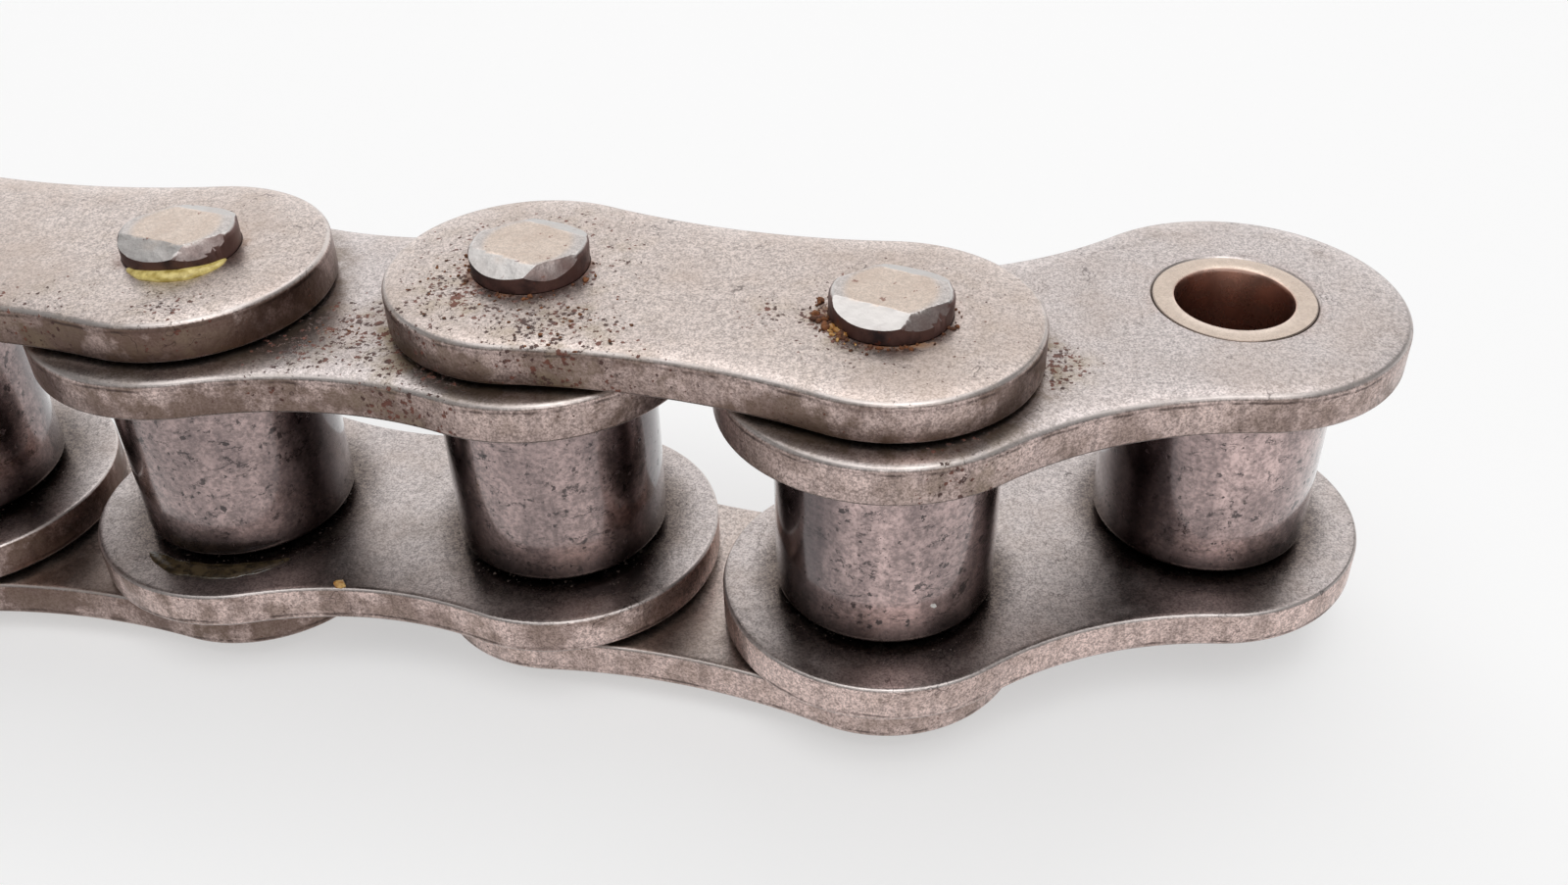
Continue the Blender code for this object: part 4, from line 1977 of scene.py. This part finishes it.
@dataclass(frozen=True)
class GreaseBead:
    """Grease squeezed out round a pin or a roller; sizes in millimetres, bearings in degrees."""

    name: str
    body: str
    kind: DirtKind
    middle: Triple
    bearings: tuple[float, float]
    ring: float = 4.0
    width: float = 0.95
    height: float = 0.42
    unevenness: float = 0.30
    wave: float = 0.7
    weld: float = 0.002
    crease: float = 60.0
    sides: int = 16
    steps: int = 90

    def build(self) -> bpy.types.Object:
        """Sweep the bead round its axis, thinning to nothing at both ends.

        Returns:
            The bead.
        """
        start, end = (math.radians(angle) for angle in self.bearings)
        sweep = end - start
        upright = Matrix.Translation((self.ring, 0.0, 0.0)) @ Matrix.Rotation(math.pi / 2, 4, "X")
        oval = Matrix.Diagonal((self.width, self.height, 1.0, 1.0))
        section = Matrix.Rotation(start, 4, "Z") @ upright @ oval
        bm = bmesh.new()
        made = bmesh.ops.create_circle(bm, segments=self.sides, radius=1.0, matrix=section)
        edges = list({edge for vert in made["verts"] for edge in vert.link_edges})
        bmesh.ops.spin(
            bm, geom=made["verts"] + edges, cent=(0, 0, 0), axis=(0, 0, 1),
            angle=sweep, steps=self.steps)
        for vert in bm.verts:
            share = (math.atan2(vert.co.y, vert.co.x) - start) / sweep
            taper = math.sqrt(max(math.sin(math.pi * share), 0.0))
            swell = taper * (1.0 + self.unevenness * noise.noise(vert.co * self.wave))
            away = vert.co.xy.normalized() * (self.ring + (vert.co.xy.length - self.ring) * swell)
            vert.co = Vector((away.x, away.y, vert.co.z * swell))
        bmesh.ops.remove_doubles(bm, verts=bm.verts, dist=self.weld)
        place = Matrix.Translation(Vector(self.middle) * MM) @ Matrix.Scale(MM, 4)
        return MeshBench.finish(bm, self.name, place, self.crease)


@dataclass(frozen=True)
class LooseDirt:
    """Crumbs of rust and grit and beads of grease that lie on the chain."""

    patches: tuple[CrumbPatch | GreaseBead, ...]

    def build(self) -> None:
        """Lay every patch on its body."""
        finishes = {kind: kind.value.mix(f"{kind.name.lower()}_crumbs") for kind in DirtKind}
        for patch in self.patches:
            piece = patch.build()
            piece.data.materials.append(finishes[patch.kind])
            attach(piece, patch.body)
            LOG.info("%s on %s: %d faces", piece.name, patch.body, len(piece.data.polygons))


@dataclass(frozen=True)
class FloorFinish:
    """Pale matt floor that takes the chain's shadow and fades to plain white far away."""

    paint: Colour = (0.94, 0.94, 0.94)
    roughness: float = 0.7
    gloss: float = 0.1
    whitening: Ease = Ease(0.28, 0.80, 0.48, 1.0)

    def mix(self) -> bpy.types.Material:
        """Mix the floor's paint.

        Returns:
            The material.
        """
        material, sketch, shader, spot = FinishBench.start("pale_floor")
        shader["Base Color"].default_value = (*self.paint, 1.0)
        shader["Roughness"].default_value = self.roughness
        shader["Specular IOR Level"].default_value = self.gloss
        away = sketch.vector("LENGTH", spot["Object"], (0.0, 0.0, 0.0)).outputs["Value"]
        white = self.whitening.of(sketch, away)
        nodes = material.node_tree.nodes
        blend = sketch.add("ShaderNodeMixShader")
        sketch.feed(blend.inputs[0], sketch.times(white, FinishBench.looked_at(sketch)))
        sketch.feed(blend.inputs[1], nodes["Principled BSDF"].outputs["BSDF"])
        sketch.feed(blend.inputs[2], sketch.add("ShaderNodeEmission").outputs["Emission"])
        sketch.feed(nodes["Material Output"].inputs["Surface"], blend.outputs["Shader"])
        return material


@dataclass(frozen=True)
class Softbox:
    """A lamp with a large even face that looks at the chain, with its sizes in metres."""

    name: str
    place: Triple
    size: tuple[float, float]
    radiance: float

    def hang(self) -> None:
        """Hang the lamp."""
        width, height = self.size
        data = bpy.data.lights.new(self.name, "AREA")
        data.shape = "RECTANGLE"
        data.size = width
        data.size_y = height
        data.energy = self.radiance * math.pi * width * height
        lamp = bpy.data.objects.new(self.name, data)
        lamp.location = self.place
        lamp.rotation_euler = (-Vector(self.place)).to_track_quat("-Z", "Y").to_euler()
        bpy.context.scene.collection.objects.link(lamp)


@dataclass(frozen=True)
class Studio:
    """Pale floor, soft light and the photograph's camera."""

    camera_place: Triple = (30.014 * MM, -87.426 * MM, 82.184 * MM)
    camera_turn: Triple = (-36.410, -1.406, 8.265)
    focal_pixels: float = 1533.0
    image_width: float = 1600.0
    sensor_width: float = 36.0
    clip_start: float = 2.0 * MM
    floor_size: float = 6.0
    floor_drop: float = 0.3 * MM
    floor_finish: FloorFinish = FloorFinish()
    world_level: float = 0.19
    wall: Ease = Ease(0.23, 0.36, 1.0, 0.0)
    lamps: tuple[Softbox, ...] = (
        Softbox("back_softbox", (-0.08, 0.65, 0.50), (1.30, 0.80), 0.87),
        Softbox("overhead_softbox", (0.0, 0.05, 0.80), (0.90, 1.10), 1.26),
        Softbox("front_softbox", (0.18, -0.42, 0.80), (0.55, 0.55), 2.3),
    )

    def build(self) -> None:
        """Set up everything round the chain."""
        self.add_camera()
        self.add_floor()
        self.add_world()
        for lamp in self.lamps:
            lamp.hang()
        bpy.context.scene.view_settings.view_transform = "Standard"

    def add_camera(self) -> None:
        """Place the camera where the photograph was taken."""
        data = bpy.data.cameras.new("photo_camera")
        data.sensor_width = self.sensor_width
        data.lens = self.sensor_width * self.focal_pixels / self.image_width
        data.clip_start = self.clip_start
        camera = bpy.data.objects.new("photo_camera", data)
        pitch, roll, heading = (math.radians(angle) for angle in self.camera_turn)
        turn = Matrix.Rotation(heading, 4, "Z") @ Matrix.Rotation(math.pi / 2 + pitch, 4, "X")
        spot = Matrix.Translation(self.camera_place)
        camera.matrix_world = spot @ turn @ Matrix.Rotation(roll, 4, "Z")
        bpy.context.scene.collection.objects.link(camera)
        bpy.context.scene.camera = camera

    def add_floor(self) -> None:
        """Lay the pale floor just under the pin ends."""
        bm = bmesh.new()
        bmesh.ops.create_grid(bm, x_segments=1, y_segments=1, size=self.floor_size / 2)
        drop = Matrix.Translation((0.0, 0.0, -self.floor_drop))
        floor = MeshBench.finish(bm, "pale_floor", drop)
        floor.data.materials.append(self.floor_finish.mix())

    def add_world(self) -> None:
        """Fill the room with even pale light, with a white wall round the horizon."""
        world = bpy.data.worlds.new("pale_room")
        world.use_nodes = True
        nodes = world.node_tree.nodes
        sketch = NodeSketch(world.node_tree)
        room = nodes["Background"]
        wall = sketch.add("ShaderNodeBackground")
        for part, level in ((room, self.world_level), (wall, 1.0)):
            part.inputs["Color"].default_value = (1.0, 1.0, 1.0, 1.0)
            part.inputs["Strength"].default_value = level
        direction = sketch.split(sketch.add("ShaderNodeTexCoord").outputs["Generated"])
        low = self.wall.of(sketch, direction["Z"])
        blend = sketch.add("ShaderNodeMixShader")
        sketch.feed(blend.inputs[0], sketch.times(low, FinishBench.looked_at(sketch)))
        sketch.feed(blend.inputs[1], room.outputs["Background"])
        sketch.feed(blend.inputs[2], wall.outputs["Background"])
        sketch.feed(nodes["World Output"].inputs["Surface"], blend.outputs["Shader"])
        bpy.context.scene.world = world


WEAR = {
    "inner_link_1": PlateWear(
        stain=0.30, rust_right=0.05, rust_left=0.35, specks=0.20, collar=0.12,
        side_stain=0.45, roller_tone=1.12,
        zones=(DirtZone(35.6, -3.6, 4.5, 1.1), DirtZone(30.0, -14.0, 5.0, 0.5))),
    "outer_link_1": PlateWear(
        stain=0.45, rust_right=0.22, rust_left=0.45, specks=0.40, collar=0.90,
        side_stain=0.74, side_dull=0.12, hem=0.74,
        zones=(
            DirtZone(-4.6, -5.7, 5.0, 0.60),
            DirtZone(3.5, -8.3, 5.5, 0.75),
            DirtZone(-3.6, -2.4, 3.5, 0.35),
            DirtZone(21.1, -5.1, 2.6, 1.5),
            DirtZone(22.9, -7.2, 2.4, 1.2),
            DirtZone(8.8, -9.0, 4.0, 0.40),
            DirtZone(17.0, -5.0, 3.0, 0.4),
        )),
    "inner_link_2": PlateWear(
        stain=0.35, rust_right=0.40, rust_left=0.30, specks=0.40, collar=0.25,
        side_stain=0.75, side_dull=0.08, hem=0.40, lower_soil_and_shade=0.8, oil_and_shade_reach=11.3, roller_tone=0.82,
        zones=(
            DirtZone(-11.5, -4.0, 6.5, 1.0),
            DirtZone(-6.0, -9.5, 5.5, 0.85),
            DirtZone(-16.0, -7.5, 4.0, 0.6),
        )),
    "outer_link_2": PlateWear(
        stain=0.55, rust_right=0.20, rust_left=0.25, specks=0.30, collar=0.40,
        side_stain=0.92, side_dull=0.5, hem=0.95, lower_soil_and_shade=0.9,
        grease=DirtZone(-24.2, -4.2, 2.8, 0.35),
        zones=(DirtZone(-22.5, -7.5, 4.5, 0.50), DirtZone(-33.0, -8.5, 6.0, 0.35))),
    "inner_link_3": PlateWear(
        side_stain=0.92, side_dull=0.6, hem=0.95, lower_soil_and_shade=1.0, oil_and_shade_reach=12.0),
    "inner_link_4": PlateWear(rust_left=0.03, collar=0.2),
}

RIGHT_PIN_FOOT = (25.10, -3.89, 30.98)
MIDDLE_PIN_FOOT = (0.0, 0.0, 30.98)
LEFT_PIN_FOOT = (-25.40, 0.0, 30.98)
ROLLER_FOOT = (-25.40, 0.0, 8.40)
ALL_ROUND = (0, 360)

DIRT = (
    CrumbPatch(
        "rust_by_right_pin", "outer_link_1", DirtKind.RUST, RIGHT_PIN_FOOT,
        reach=(4.1, 5.3), bearings=(-200, -95), count=46, sizes=(0.06, 0.34)),
    CrumbPatch(
        "rust_far_right_pin", "outer_link_1", DirtKind.RUST, RIGHT_PIN_FOOT,
        reach=(4.1, 4.7), bearings=(-95, 10), count=22, sizes=(0.05, 0.20)),
    CrumbPatch(
        "amber_by_right_pin", "outer_link_1", DirtKind.AMBER, RIGHT_PIN_FOOT,
        reach=(4.1, 4.9), bearings=(-160, -105), count=16, sizes=(0.08, 0.30)),
    CrumbPatch(
        "rust_by_left_pin", "outer_link_1", DirtKind.RUST, MIDDLE_PIN_FOOT,
        reach=(4.1, 5.0), bearings=(-230, 20), count=44, sizes=(0.05, 0.22)),
    CrumbPatch(
        "rust_on_left_end", "outer_link_1", DirtKind.RUST, MIDDLE_PIN_FOOT,
        reach=(5.0, 9.2), bearings=(-185, -60), count=90, sizes=(0.03, 0.14), flatness=0.35),
    CrumbPatch(
        "rust_on_middle", "outer_link_1", DirtKind.RUST, (4.5, -7.0, 30.98),
        reach=(0.0, 4.5), bearings=ALL_ROUND, count=60, sizes=(0.03, 0.17), flatness=0.35),
    CrumbPatch(
        "rust_on_waist", "inner_link_2", DirtKind.RUST, (-12.2, -4.5, 27.48),
        reach=(0.0, 2.6), bearings=ALL_ROUND, count=50, sizes=(0.03, 0.15), flatness=0.35),
    CrumbPatch(
        "grit_on_lower_plate", "inner_link_2", DirtKind.AMBER, (-14.75, -9.41, 8.40),
        reach=(0.0, 0.05), bearings=ALL_ROUND, count=2, sizes=(0.40, 0.48)),
    GreaseBead(
        "grease_by_pin", "outer_link_2", DirtKind.GREASE, LEFT_PIN_FOOT,
        bearings=(-128.0, -18.0)),
    GreaseBead(
        "oil_by_roller", "inner_link_2", DirtKind.OIL, ROLLER_FOOT,
        bearings=(-126.0, -50.0), ring=9.00, width=0.85, height=0.15),
    CrumbPatch(
        "speck_on_roller", "inner_link_1_left_roller", DirtKind.CHALK, (28.91, -10.85, 12.00),
        reach=(0.0, 0.05), bearings=ALL_ROUND, count=2, sizes=(0.20, 0.26)),
)


def main() -> None:
    """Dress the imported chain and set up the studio."""
    logging.basicConfig(level=logging.INFO, format="%(message)s")
    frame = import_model()
    layout = ChainLayout(frame)
    shop = FinishShop(layout)
    builders = {LinkKind.INNER: InnerLink, LinkKind.OUTER: OuterLink}
    for place in layout.links:
        builders[place.kind](layout, place, shop, WEAR.get(place.name, PlateWear())).build()
    LooseDirt(DIRT).build()
    Studio().build()


if __name__ == "__main__":
    main()
